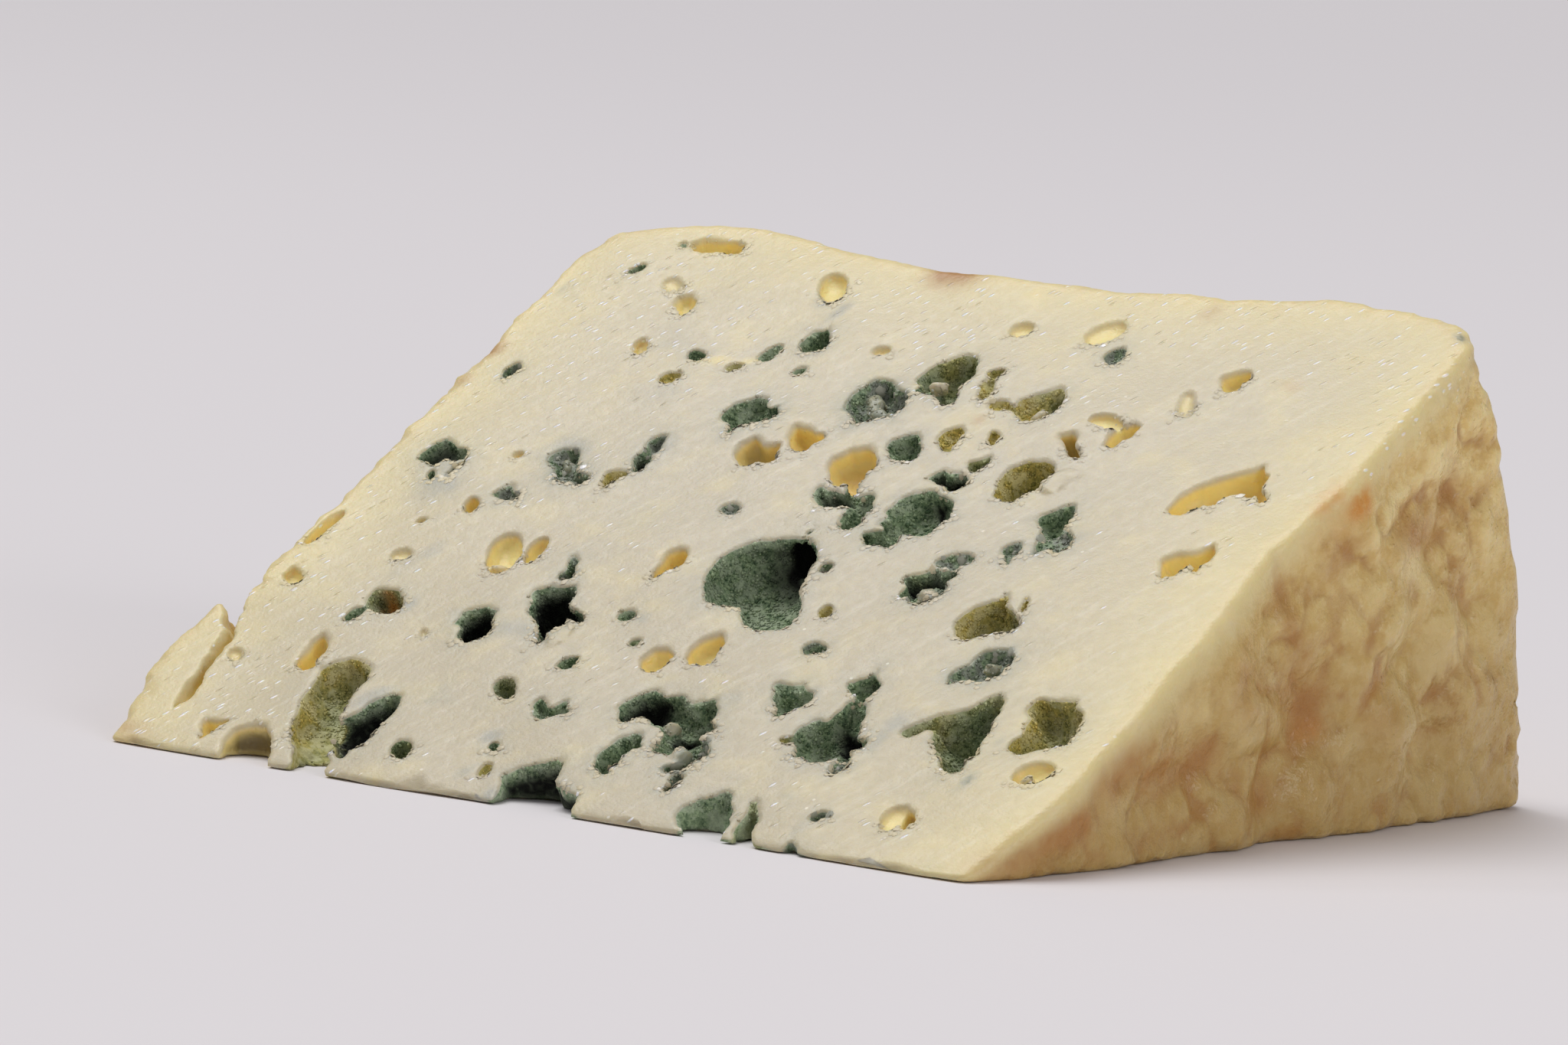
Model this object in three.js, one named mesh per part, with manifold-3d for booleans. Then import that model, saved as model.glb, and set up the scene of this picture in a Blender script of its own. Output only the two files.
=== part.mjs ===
// A wedge of blue-veined cheese, cut from a small drum and lying on one of its two cut faces.
// Millimetres, +Z up. X runs along the drum's axis, so the two flat rinds are the -X and +X ends.
// The thin edge of the wedge, which was the drum's axis, is at the front (-Y), the curved rind at
// the back (+Y), and the other cut face slopes up from front to back, full of holes and mould.

import * as THREE from 'three';
import { mergeGeometries, mergeVertices } from 'three/addons/utils/BufferGeometryUtils.js';
import Module from 'manifold-3d';

const wasm = await Module();
wasm.setup();

// ---- driving dimensions -------------------------------------------------------------------

const DRUM_RADIUS = 95.2;                                // a drum of 19 cm across
const WEDGE_ANGLE = THREE.MathUtils.degToRad(32.5);      // an eleventh of the round
const LEFT_END = -59.2;                                  // flat rind at -X, from the middle
const RIGHT_END = 56.4;                                  // flat rind at +X
const RIGHT_END_FLARE = 2;                               // it stands out more near its top
const MIDDLE_X = -1.7;                                   // middle of the finished length
const MIDDLE_Y = 48.25;                                  // middle of the finished depth

const EDGE_ROUND_RIND = 6;                               // curved rind to flat rinds
const EDGE_ROUND_CUT = 1.6;                              // along the knife's cuts
const EDGE_ROUND_FOOT = 1.2;                             // along the base

const RIND_LUMP_HEIGHT = 0.55;                           // rind relief, and how far apart it is
const RIND_LUMP_PITCH = 11;
const CUT_WAVE_HEIGHT = 0.12;                            // the knife left the paste nearly flat
const CUT_WAVE_PITCH = 17;

const GRID_STEP = 5.0;                                   // side of one facet of the outer skin
const HOLE_FACETS = { sides: 9, rings: 5 };              // round a hole's wall, and down it
const SMALL_HOLE_FACETS = { sides: 7, rings: 4 };
const SMALL_HOLE = 2.0;                                  // half width of the largest small hole
const HOLE_ROUGHNESS = 0.13;                             // wander of a hole's wall, part of its size

// Swellings of the curved rind's top edge: [x, half length, height]
const TOP_EDGE_SWELLS = [[-40, 16, 4.0], [40, 12, 2.4]];

// Hollows pressed into the +X rind: [y, z, radius, depth], and swellings where depth is negative
const END_DENTS = [
  [50, 24, 5, 1.0], [54, 12, 5, 1.4], [48, 6, 4, 1.1], [73, 7, 4.5, 1.6], [72, 18, 4, 0.9],
  [82, 23, 3, 0.8], [30, 9, 5, 0.8], [74, 33, 7, 0.9], [62, 22, 6, -0.8], [64, 6, 5, -0.9],
  [40, 15, 6, -0.6], [80, 13, 5, -0.8], [60, 32, 5, -0.6], [20, 3, 5, 0.7], [2, 1, 8, 3.2],
];

// The flake that is breaking away at the foot of the -X end, and how far it leans out
const FLAKE_TOP = 24.5;
const FLAKE_LEAN = 3.0;

// Holes in the sloping cut face. x is along the drum's axis, s is up the slope from the thin
// edge: [x, s, half length, half width, turn in degrees from +X, depth]
const MOULD_HOLES = [
  [0, 41.3, 6.4, 6.1, 20, 6.5], [5.8, 36.2, 3.3, 3.0, 60, 4.5],
  [-27.3, 26.8, 2.9, 2.2, -50, 8], [-20.6, 32, 4.3, 1.9, -52, 7.5], [-22.3, 37.6, 1.7, 1.0, 60, 2],
  [-41, 28.6, 2.3, 1.8, 0, 4], [-36.4, 11.5, 7.6, 3.3, -68, 4.2], [-32.2, 2.6, 3.2, 2.6, 0, 5],
  [-29.4, 9.6, 4.9, 2.8, -72, 5], [-22, 6.2, 1.8, 1.3, -45, 3], [-16.8, 18, 1.9, 1.2, -50, 3],
  [-4, 3.8, 3.8, 4.1, 90, 8], [0.8, 1.8, 3.2, 2.7, 0, 6], [0.9, 18.4, 2.7, 2.1, 70, 5],
  [6.8, 18.3, 3.7, 2.6, -12, 3.6], [8.2, 14, 2.3, 2.1, 0, 3.4], [2.8, 10.8, 3.4, 1.7, 105, 3],
  [11.6, 11.4, 2.6, 1.2, 70, 1.8], [16.5, 23.3, 2.3, 2.1, 0, 2.6], [19, 3.6, 3.1, 3.0, 0, 4.2],
  [24.6, 2.6, 3.5, 1.4, -62, 4], [25, 17.2, 3.9, 2.9, -10, 4], [24.4, 22.6, 2.8, 1.9, 80, 3.8],
  [23.3, 27, 2.3, 1.4, 80, 2.4], [39.7, 21.6, 6.2, 2.6, -68, 6.5], [35, 22.6, 2.4, 0.9, 38, 2.4],
  [47.9, 24.6, 4.2, 3.3, 100, 5], [31.2, 39, 3.8, 2.4, 4, 6], [35, 32.2, 2.9, 2.0, 80, 1.6],
  [20.6, 44.2, 3.4, 2.7, 20, 2.6], [28.3, 56.6, 2.4, 1.7, 50, 2.6], [29.6, 52.8, 2.9, 1.8, -60, 1.6],
  [12.3, 54, 4.1, 3.1, 65, 3.8], [10, 50.3, 2.6, 1.5, 10, 3], [12.2, 60.3, 2.3, 1.2, 0, 4.6],
  [14.2, 63.6, 2.3, 1.0, 65, 3], [0.8, 55, 2.5, 1.5, 0, 3], [5, 53.2, 2.9, 1.6, 100, 2.4],
  [20.8, 61.8, 3.3, 2.6, 80, 5], [1.0, 78.3, 3.0, 2.7, 0, 3.8], [3.5, 74.6, 2.6, 1.6, -60, 3.6],
  [14.8, 74.2, 2.9, 2.6, 0, 1.9], [-4.2, 71.4, 4.4, 2.8, -45, 2.2], [-18, 66.8, 3.2, 3.0, 0, 2.4],
  [3.7, 65, 2.3, 1.8, -60, 2], [-18.5, 81.2, 2.3, 1.5, 75, 2.6], [-51.2, 53.2, 3.3, 1.8, -15, 1.8],
  [-34.5, 54.8, 3.6, 1.6, -42, 1.6], [-26.3, 58, 2.9, 1.0, -78, 1.6],
];
const BARE_HOLES = [
  [-0.4, 60.2, 3.3, 2.9, -60, 3.4], [-9.3, 64, 2.4, 2.0, 0, 4], [-13, 60.5, 2.9, 2.3, 0, 4.4],
  [-11.1, 41.4, 2.5, 1.5, 90, 4], [2.1, 28.2, 2.3, 1.9, 90, 2.8], [-2.8, 25.8, 1.9, 1.5, 90, 2.6],
  [42.2, 62.4, 2.9, 1.6, 65, 4], [45.4, 66, 3.0, 1.6, 38, 3.8], [46.4, 51.6, 2.5, 1.6, 80, 3],
  [48.5, 53.6, 2.0, 1.0, 75, 2.6], [34.8, 82, 1.8, 1.6, 0, 1.8], [27.6, 71, 2.2, 1.4, 100, 2.6],
  [-43.7, 19, 3.0, 1.4, -66, 4], [-32.4, 39, 3.5, 2.0, -60, 2.4], [-28.6, 40, 2.2, 1.3, -78, 2],
  [-39.4, 84.5, 2.6, 1.3, -60, 1.8], [-41.8, 95.2, 3.4, 1.5, 4, 2.4], [-40.6, 3, 3.4, 3.0, -30, 4],
  [-47.6, 5.2, 1.9, 1.2, 60, 2.4], [-57, 39, 3.0, 1.2, 80, 1.6], [23, 68, 2.8, 0.8, -45, 3.6],
  [40.5, 8.3, 1.9, 1.7, 80, 2.4], [-22.6, 89.8, 3.0, 1.8, -60, 1.4],
];

// Holes in the cut face that the wedge lies on: [x, y, half length, half width, turn, depth]
const UNDERSIDE_HOLES = [
  [-38, 30, 4.5, 3.0, 40, 4], [-12, 22, 3.2, 2.4, 10, 3.5], [9, 38, 5.2, 3.4, -35, 5],
  [30, 27, 4.0, 2.6, 70, 4], [-24, 52, 3.4, 2.6, 0, 3], [22, 58, 3.6, 2.2, 50, 3.5],
  [-45, 66, 2.8, 2.0, -20, 2.5], [2, 68, 3.0, 2.2, 30, 3], [42, 46, 2.6, 2.2, 0, 2.5],
];

// The crack behind the flake, as its outline on the cut face: a wide mouth at the top that runs
// out of the -X end, then a narrow cleft down towards the foot
const CRACK_MOUTH = [[-66, 25.6], [-60.8, 24.8], [-59, 22.6], [-57.2, 20.4], [-56.5, 18.8],
  [-55.7, 20.3], [-56.7, 22.6], [-57.6, 24.6], [-59.2, 28.2], [-66, 30]];
const CRACK_MOUTH_DEPTH = 9;
const CRACK_CLEFT = [[-57.3, 20.6], [-55.9, 14.6], [-54.9, 10.6], [-54.1, 6.6], [-53.1, 9.4],
  [-54.2, 14], [-55.6, 20.4]];
const CRACK_CLEFT_DEPTH = 2.6;

// The broken ledge low on the curved rind by the +X end, as one long notch
const LEDGE_NOTCH = { x: 55, y: 95.5, z: 11.2, length: 9, reach: 3.4, height: 1.5 };

// ---- shape of the outer skin ---------------------------------------------------------------

const SLOPE = new THREE.Vector3(0, Math.cos(WEDGE_ANGLE), Math.sin(WEDGE_ANGLE));
const SLOPE_NORMAL = new THREE.Vector3(0, -Math.sin(WEDGE_ANGLE), Math.cos(WEDGE_ANGLE));

const bell = (distance, reach) => Math.exp(-((distance / reach) ** 2));

// The larger of two distances, blended over a band so that the edge between them is round
function roundedMax(a, b, band) {
  const overlap = Math.max(band - Math.abs(a - b), 0);
  return Math.max(a, b) + (overlap * overlap) / (4 * band);
}

// A soft relief of height about 1: waves in evenly spread directions, one crest every pitch
function lumps(p, pitch) {
  const waves = 9;
  const goldenAngle = Math.PI * (3 - Math.sqrt(5));
  let sum = 0;
  for (let i = 0; i < waves; i++) {
    const up = 1 - (2 * i + 1) / waves;
    const across = Math.sqrt(1 - up * up);
    const turn = goldenAngle * i;
    const along = across * Math.cos(turn) * p.x + across * Math.sin(turn) * p.y + up * p.z;
    sum += Math.sin((2 * Math.PI * along) / (pitch * (0.8 + 0.05 * i)) + 1.7 * i);
  }
  return sum / Math.sqrt(waves);
}

// Where the two flat rinds stand, before their relief, at a point of the drum's section
function leftRindX(y, z) {
  const fromAxis = Math.hypot(y, z);
  const flake = 1 - THREE.MathUtils.smoothstep(fromAxis, FLAKE_TOP - 1, FLAKE_TOP + 5);
  return LEFT_END - FLAKE_LEAN * flake * THREE.MathUtils.smoothstep(fromAxis, 4, 14);
}

function rightRindX(y, z) {
  const dents = END_DENTS.reduce(
    (sum, [atY, atZ, radius, depth]) => sum + depth * bell(Math.hypot(y - atY, z - atZ), radius), 0);
  return RIGHT_END + RIGHT_END_FLARE * THREE.MathUtils.smoothstep(y, 45, 68) - dents;
}

// How far the curved rind stands from the drum's axis, at x and at a part of the wedge's angle
function curvedRindRadius(x, anglePart) {
  const swell = TOP_EDGE_SWELLS.reduce((sum, [at, reach, height]) => sum + height * bell(x - at, reach), 0.8);
  return DRUM_RADIUS + swell * THREE.MathUtils.smoothstep(anglePart, 0, 1);
}

// Signed distance, in millimetres, from the skin of the wedge before its holes are cut
function wedgeDistance(p) {
  const fromAxis = Math.hypot(p.y, p.z);
  const anglePart = Math.atan2(p.z, Math.max(p.y, 1e-6)) / WEDGE_ANGLE;
  const relief = RIND_LUMP_HEIGHT * lumps(p, RIND_LUMP_PITCH);
  const cut = SLOPE_NORMAL.dot(p) - CUT_WAVE_HEIGHT * lumps(p, CUT_WAVE_PITCH);
  const curved = fromAxis - curvedRindRadius(p.x, anglePart) - relief;
  const flat = Math.max(p.x - rightRindX(p.y, p.z), leftRindX(p.y, p.z) - p.x) - relief;
  const rind = roundedMax(curved, flat, EDGE_ROUND_RIND);
  return roundedMax(roundedMax(rind, cut, EDGE_ROUND_CUT), -p.z, EDGE_ROUND_FOOT);
}

// Slides a point along the skin's normal until it lies on the skin
function settleOnSkin(p) {
  const step = 0.05;
  const slope = new THREE.Vector3();
  for (let pass = 0; pass < 12; pass++) {
    const distance = wedgeDistance(p);
    for (const axis of ['x', 'y', 'z']) {
      const ahead = p.clone();
      const behind = p.clone();
      ahead[axis] += step;
      behind[axis] -= step;
      slope[axis] = (wedgeDistance(ahead) - wedgeDistance(behind)) / (2 * step);
    }
    p.addScaledVector(slope, (-0.9 * distance) / Math.max(slope.lengthSq(), 0.2));
  }
  if (Math.abs(p.z) < 0.02) p.z = 0;
  return p;
}

// One patch of the skin: a grid of (u, v), each 0 to 1, laid out by place(u, v)
function patch(columns, rows, place, flip) {
  const geometry = new THREE.PlaneGeometry(1, 1, columns, rows);
  const position = geometry.attributes.position;
  for (let i = 0; i < position.count; i++) {
    const p = place(position.getX(i) + 0.5, position.getY(i) + 0.5);
    position.setXYZ(i, p.x, p.y, p.z);
  }
  if (flip) {
    const index = geometry.index.array;
    for (let i = 0; i < index.length; i += 3) [index[i + 1], index[i + 2]] = [index[i + 2], index[i + 1]];
  }
  return geometry;
}

// The whole skin as five patches that share their borders: two cuts, the curved rind, two ends
function wedgeSkin() {
  const alongCells = Math.round((RIGHT_END - LEFT_END) / GRID_STEP);
  const radialCells = Math.round(DRUM_RADIUS / GRID_STEP);
  const angleCells = Math.round((DRUM_RADIUS * WEDGE_ANGLE) / GRID_STEP);
  const point = (along, out, turn) => {
    const nominalX = THREE.MathUtils.lerp(LEFT_END, RIGHT_END, along);
    const radius = Math.max(out, 1e-4) * curvedRindRadius(nominalX, turn);
    const y = radius * Math.cos(turn * WEDGE_ANGLE);
    const z = radius * Math.sin(turn * WEDGE_ANGLE);
    return new THREE.Vector3(THREE.MathUtils.lerp(leftRindX(y, z), rightRindX(y, z), along), y, z);
  };
  const settled = new Map();
  const place = (along, out, turn) => {
    const key = [along, out, out < 1e-9 ? 0 : turn].map((value) => value.toFixed(5)).join();
    if (!settled.has(key)) settled.set(key, settleOnSkin(point(along, out, out < 1e-9 ? 0.5 : turn)));
    return settled.get(key);
  };
  return mergeGeometries([
    patch(alongCells, radialCells, (u, v) => place(u, v, 1), false),
    patch(alongCells, radialCells, (u, v) => place(u, v, 0), true),
    patch(alongCells, angleCells, (u, v) => place(u, 1, v), true),
    patch(radialCells, angleCells, (u, v) => place(1, u, v), false),
    patch(radialCells, angleCells, (u, v) => place(0, u, v), true),
  ]);
}

// ---- solids and cuts ------------------------------------------------------------------------

// A closed three.js geometry as a solid that can be joined and cut
function solidOf(geometry) {
  const bare = geometry.clone();
  bare.deleteAttribute('normal');
  bare.deleteAttribute('uv');
  const merged = mergeVertices(bare, 1e-4);
  const index = Array.from(merged.index.array);
  const triangles = [];
  for (let i = 0; i < index.length; i += 3) {
    const [a, b, c] = index.slice(i, i + 3);
    if (a !== b && b !== c && c !== a) triangles.push(a, b, c);
  }
  return new wasm.Manifold(new wasm.Mesh({
    numProp: 3,
    vertProperties: new Float32Array(merged.attributes.position.array),
    triVerts: new Uint32Array(triangles),
  }));
}

function geometryOf(solid) {
  const mesh = solid.getMesh();
  const geometry = new THREE.BufferGeometry();
  geometry.setAttribute('position', new THREE.BufferAttribute(new Float32Array(mesh.vertProperties), 3));
  geometry.setIndex(new THREE.BufferAttribute(new Uint32Array(mesh.triVerts), 1));
  geometry.computeVertexNormals();
  return geometry;
}

// The frame of a cut face: X stays X, Y runs away from the thin edge, Z out of the paste
const CUT_FACE_FRAME = new THREE.Matrix4().makeBasis(new THREE.Vector3(1, 0, 0), SLOPE, SLOPE_NORMAL);
const UNDERSIDE_FRAME = new THREE.Matrix4().makeBasis(
  new THREE.Vector3(1, 0, 0), new THREE.Vector3(0, -1, 0), new THREE.Vector3(0, 0, -1));

// A lumpy pocket that is a little wider below its mouth than at it
function holeTool([x, s, halfLength, halfWidth, turn, depth], frame, mirror = 1) {
  const sink = 0.3;
  const widening = 1 / Math.sqrt(1 - (sink / (1 - sink)) ** 2);
  const { sides, rings } = halfWidth > SMALL_HOLE ? HOLE_FACETS : SMALL_HOLE_FACETS;
  const geometry = new THREE.SphereGeometry(1, sides, rings);
  geometry.rotateX(Math.PI / 2);
  const position = geometry.attributes.position;
  const p = new THREE.Vector3();
  for (let i = 0; i < position.count; i++) {
    p.fromBufferAttribute(position, i);
    const wander = lumps(new THREE.Vector3(p.x + x, p.y + s, p.z), 1.9);
    p.multiplyScalar(1 + HOLE_ROUGHNESS * wander);
    position.setXYZ(i, p.x, p.y, p.z);
  }
  geometry.scale(halfLength * widening, halfWidth * widening, depth * (1 - sink));
  geometry.rotateZ(THREE.MathUtils.degToRad(turn) * mirror);
  geometry.translate(x, s * mirror, -depth * sink);
  geometry.applyMatrix4(frame);
  return solidOf(geometry);
}

// An outline on the cut face, carried straight down into the paste
function cleftTool(outline, depth) {
  const clearance = 3;
  const shape = new THREE.Shape(outline.map(([x, s]) => new THREE.Vector2(x, s)));
  const geometry = new THREE.ExtrudeGeometry(shape, { depth: depth + clearance, bevelEnabled: false });
  geometry.translate(0, 0, -depth);
  geometry.applyMatrix4(CUT_FACE_FRAME);
  return solidOf(geometry);
}

function ledgeNotchTool({ x, y, z, length, reach, height }) {
  const geometry = new THREE.SphereGeometry(1, HOLE_FACETS.sides, HOLE_FACETS.rings);
  geometry.scale(length, reach, height);
  geometry.translate(x, y, z);
  return solidOf(geometry);
}

function cutWedge() {
  const tools = [
    ...[...MOULD_HOLES, ...BARE_HOLES].map((hole) => holeTool(hole, CUT_FACE_FRAME)),
    ...UNDERSIDE_HOLES.map((hole) => holeTool(hole, UNDERSIDE_FRAME, -1)),
    cleftTool(CRACK_MOUTH, CRACK_MOUTH_DEPTH),
    cleftTool(CRACK_CLEFT, CRACK_CLEFT_DEPTH),
    ledgeNotchTool(LEDGE_NOTCH),
  ];
  return tools.reduce((solid, tool) => solid.subtract(tool), solidOf(wedgeSkin()));
}

// ---- the cheese -----------------------------------------------------------------------------

const paste = new THREE.MeshStandardMaterial({ color: 0xd9d1bc, roughness: 0.42, metalness: 0 });

const wedge = new THREE.Mesh(geometryOf(cutWedge()), paste);
wedge.name = 'cheese_wedge';
wedge.position.set(-MIDDLE_X, -MIDDLE_Y, 0);

const cheese = new THREE.Group();
cheese.add(wedge);

export default cheese;
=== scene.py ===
"""Looks of a wedge of blue-veined cheese that lies on one of its two cut faces.

Sizes are in millimetres until they reach a mesh. Most places are given in the sloping cut face's
own plan: x runs along the drum that the wedge was cut from, s runs up the slope from the wedge's
thin edge, and d is the height above the cut, so a hole's floor has a negative d.
"""

import logging
import math
from dataclasses import dataclass, field
from enum import Enum

import bpy
import numpy as np
from mathutils import Matrix, Vector


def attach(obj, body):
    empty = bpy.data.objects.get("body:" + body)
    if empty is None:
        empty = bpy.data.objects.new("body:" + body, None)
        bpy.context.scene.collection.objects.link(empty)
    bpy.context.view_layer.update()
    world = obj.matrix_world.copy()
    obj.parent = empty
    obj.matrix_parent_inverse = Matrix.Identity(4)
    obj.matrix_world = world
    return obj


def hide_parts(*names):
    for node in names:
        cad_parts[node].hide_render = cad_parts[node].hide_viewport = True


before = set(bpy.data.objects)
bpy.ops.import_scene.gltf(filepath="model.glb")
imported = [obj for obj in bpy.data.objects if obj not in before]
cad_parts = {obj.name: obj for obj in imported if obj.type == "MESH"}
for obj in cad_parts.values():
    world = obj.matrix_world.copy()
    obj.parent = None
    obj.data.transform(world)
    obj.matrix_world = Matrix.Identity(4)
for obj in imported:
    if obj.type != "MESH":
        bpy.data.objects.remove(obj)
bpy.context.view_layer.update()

log = logging.getLogger("cheese")

MM = 0.001
NODE = "cheese_wedge"
BODY = "root"
FAR = 1e9
TINY = 1e-9
LATTICE = np.random.default_rng(20).uniform(-1.0, 1.0, 4096).astype(np.float32)


# ---- small tools ----------------------------------------------------------------------------


def linear(srgb_hex: str) -> tuple[float, float, float, float]:
    """Turns an sRGB hex colour to the linear colour that a shader takes.

    Args:
        srgb_hex: the colour as "#rrggbb".

    Returns:
        Red, green, blue and an alpha of 1, each 0 to 1.
    """
    parts = [int(srgb_hex[i : i + 2], 16) / 255 for i in (1, 3, 5)]
    return tuple(c / 12.92 if c <= 0.04045 else ((c + 0.055) / 1.055) ** 2.4 for c in parts) + (1.0,)


def add_node(tree: bpy.types.NodeTree, kind: str, sockets: dict = None, **settings) -> bpy.types.Node:
    """Adds a node with its settings and links.

    Args:
        tree: the material's or world's node tree.
        kind: the node's type name.
        sockets: input name or number to a value, or to the node or output socket that feeds it.
        settings: the node's own properties.

    Returns:
        The new node.
    """
    node = tree.nodes.new(kind)
    for name, value in settings.items():
        setattr(node, name, value)
    for name, value in (sockets or {}).items():
        if isinstance(value, bpy.types.Node):
            value = next(output for output in value.outputs if output.enabled)
        if isinstance(value, bpy.types.NodeSocket):
            tree.links.new(value, node.inputs[name])
        else:
            node.inputs[name].default_value = value
    return node


def smooth_step(low: float, high: float, value: np.ndarray) -> np.ndarray:
    """Rises from 0 at low to 1 at high along 3t^2 - 2t^3, and is flat outside."""
    t = np.clip((value - low) / (high - low), 0.0, 1.0)
    return t * t * (3.0 - 2.0 * t)


def rounded_max(a: np.ndarray, b: np.ndarray, band: float) -> np.ndarray:
    """The larger of two distances, with the edge between them rounded over a band.

    Formula: max(a, b) plus the square of what is left of the band after |a - b|, over 4 bands.
    """
    overlap = np.maximum(band - np.abs(a - b), 0.0)
    return np.maximum(a, b) + overlap * overlap / (4.0 * band)


def bell(distance: np.ndarray, reach: float) -> np.ndarray:
    """A bell of height 1: e to the minus square of distance over reach."""
    return np.exp(-((distance / reach) ** 2))


def grain(points: np.ndarray, pitch: float, seed: int) -> np.ndarray:
    """Smooth random relief between -1 and 1.

    Formula: each corner of a cubic lattice of the given pitch has a random value, picked from a
    list by its whole-number place, and the eight corners round a point are blended by 3t^2 - 2t^3.

    Args:
        points: places as an array of shape (n, 3).
        pitch: the lattice's spacing, in the points' unit.
        seed: picks the pattern.

    Returns:
        One value for each point.
    """
    cell = (points / pitch).astype(np.float32)
    corner = np.floor(cell)
    part = cell - corner
    part = part * part * (3.0 - 2.0 * part)
    corner = corner.astype(np.int64)
    keys, weights = [], []
    for axis, prime in enumerate((73856093, 19349663, 83492791)):
        keys.append([((corner[:, axis] + step) * prime & 0xFFFFFFFF).astype(np.uint32) for step in (0, 1)])
        weights.append([1.0 - part[:, axis], part[:, axis]])
    start = np.uint32(seed * 2654435761 & 0xFFFFFFFF)
    total = np.zeros(len(points), np.float32)
    for i, j, k in np.ndindex(2, 2, 2):
        mixed = (keys[0][i] ^ keys[1][j] ^ keys[2][k] ^ start) * np.uint32(2654435761)
        total += weights[0][i] * weights[1][j] * weights[2][k] * LATTICE[mixed >> np.uint32(20)]
    return total


def rough(points: np.ndarray, pitch: float, seed: int, octaves: int = 3) -> np.ndarray:
    """Ragged relief of about -1 to 1.

    Formula: grain, plus grain of half the pitch and 0.55 of the height, and so on.

    Args:
        points: places as an array of shape (n, 3).
        pitch: the coarsest grain's spacing, in the points' unit.
        seed: picks the pattern.
        octaves: how many grains are summed.

    Returns:
        One value for each point.
    """
    fading, seed_step = 0.55, 7
    total = np.zeros(len(points), np.float32)
    for octave in range(octaves):
        total += fading**octave * grain(points, pitch / 2**octave, seed + seed_step * octave)
    return total


def billow(points: np.ndarray, pitch: float, seed: int) -> np.ndarray:
    """Pillows of height about 1 with creases between them: the size of grain, whatever its sign."""
    return np.abs(grain(points, pitch, seed)) * 2.2


def lumps(x: np.ndarray, y: np.ndarray, z: np.ndarray, pitch: float) -> np.ndarray:
    """A soft relief of height about 1.

    Formula: the sum of nine sine waves that run in directions spread evenly over a sphere by the
    golden angle, each with a crest about every pitch, over the square root of nine.

    Args:
        x, y, z: the places.
        pitch: about how far the crests are apart.

    Returns:
        The height at each place.
    """
    waves = 9
    golden_angle = math.pi * (3.0 - math.sqrt(5.0))
    total = np.float32(0.0)
    for i in range(waves):
        up = 1.0 - (2.0 * i + 1.0) / waves
        across = math.sqrt(1.0 - up * up)
        turn = golden_angle * i
        along = across * math.cos(turn) * x + across * math.sin(turn) * y + up * z
        total = total + np.sin(2.0 * math.pi * along / (pitch * (0.8 + 0.05 * i)) + 1.7 * i)
    return total / math.sqrt(waves)


def ellipsoid_distance(away: tuple, sizes: tuple, turn: float) -> np.ndarray:
    """About the distance from an ellipsoid's surface, negative inside.

    Formula: with k the length of the place scaled by the half sizes, and g its length scaled by
    their squares, k (k - 1) / g.

    Args:
        away: the place from its centre along x, s and d.
        sizes: its half sizes.
        turn: how far its length is turned from x in the plan, in degrees.

    Returns:
        The distance at each place.
    """
    cos, sin = math.cos(math.radians(turn)), math.sin(math.radians(turn))
    parts = (away[0] * cos + away[1] * sin, away[1] * cos - away[0] * sin, away[2])
    scaled = np.sqrt(sum((part / size) ** 2 for part, size in zip(parts, sizes)))
    slope = np.sqrt(sum((part / size**2) ** 2 for part, size in zip(parts, sizes)))
    return scaled * (scaled - 1.0) / np.maximum(slope, 1e-4)


def path_distance(x: np.ndarray, s: np.ndarray, path: tuple) -> np.ndarray:
    """Distance in a plane from a path: the least distance to any of its straight parts.

    Args:
        x, s: the places' two coordinates.
        path: pairs of coordinates, in order.

    Returns:
        The distance at each place.
    """
    nearest = np.full(np.broadcast(x, s).shape, FAR, np.float32)
    for (x0, s0), (x1, s1) in zip(path, path[1:]):
        run, rise = x1 - x0, s1 - s0
        t = np.clip(((x - x0) * run + (s - s0) * rise) / (run * run + rise * rise), 0.0, 1.0)
        nearest = np.minimum(nearest, np.hypot(x - x0 - t * run, s - s0 - t * rise))
    return nearest


def outline_distance(x: np.ndarray, s: np.ndarray, outline: tuple) -> np.ndarray:
    """Signed distance in the plan from a closed outline, negative inside.

    Formula: the least distance to any of its sides, made negative where a ray towards +x crosses
    an odd number of them.

    Args:
        x, s: the places' two coordinates.
        outline: its corners as pairs of coordinates, in order.

    Returns:
        The distance at each place.
    """
    closed = outline + outline[:1]
    nearest = path_distance(x, s, closed)
    inside = np.zeros(nearest.shape, bool)
    for (x0, s0), (x1, s1) in zip(closed, closed[1:]):
        crosses = (s0 > s) != (s1 > s)
        inside ^= crosses & (x < x0 + (x1 - x0) * (s - s0) / (s1 - s0 or TINY))
    return np.where(inside, -nearest, nearest)


def raise_to(values: np.ndarray, where: np.ndarray, least: np.ndarray) -> None:
    """Raises an array in place, at the numbered places, to at least the given values."""
    values[where] = np.maximum(values[where], least)


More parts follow.
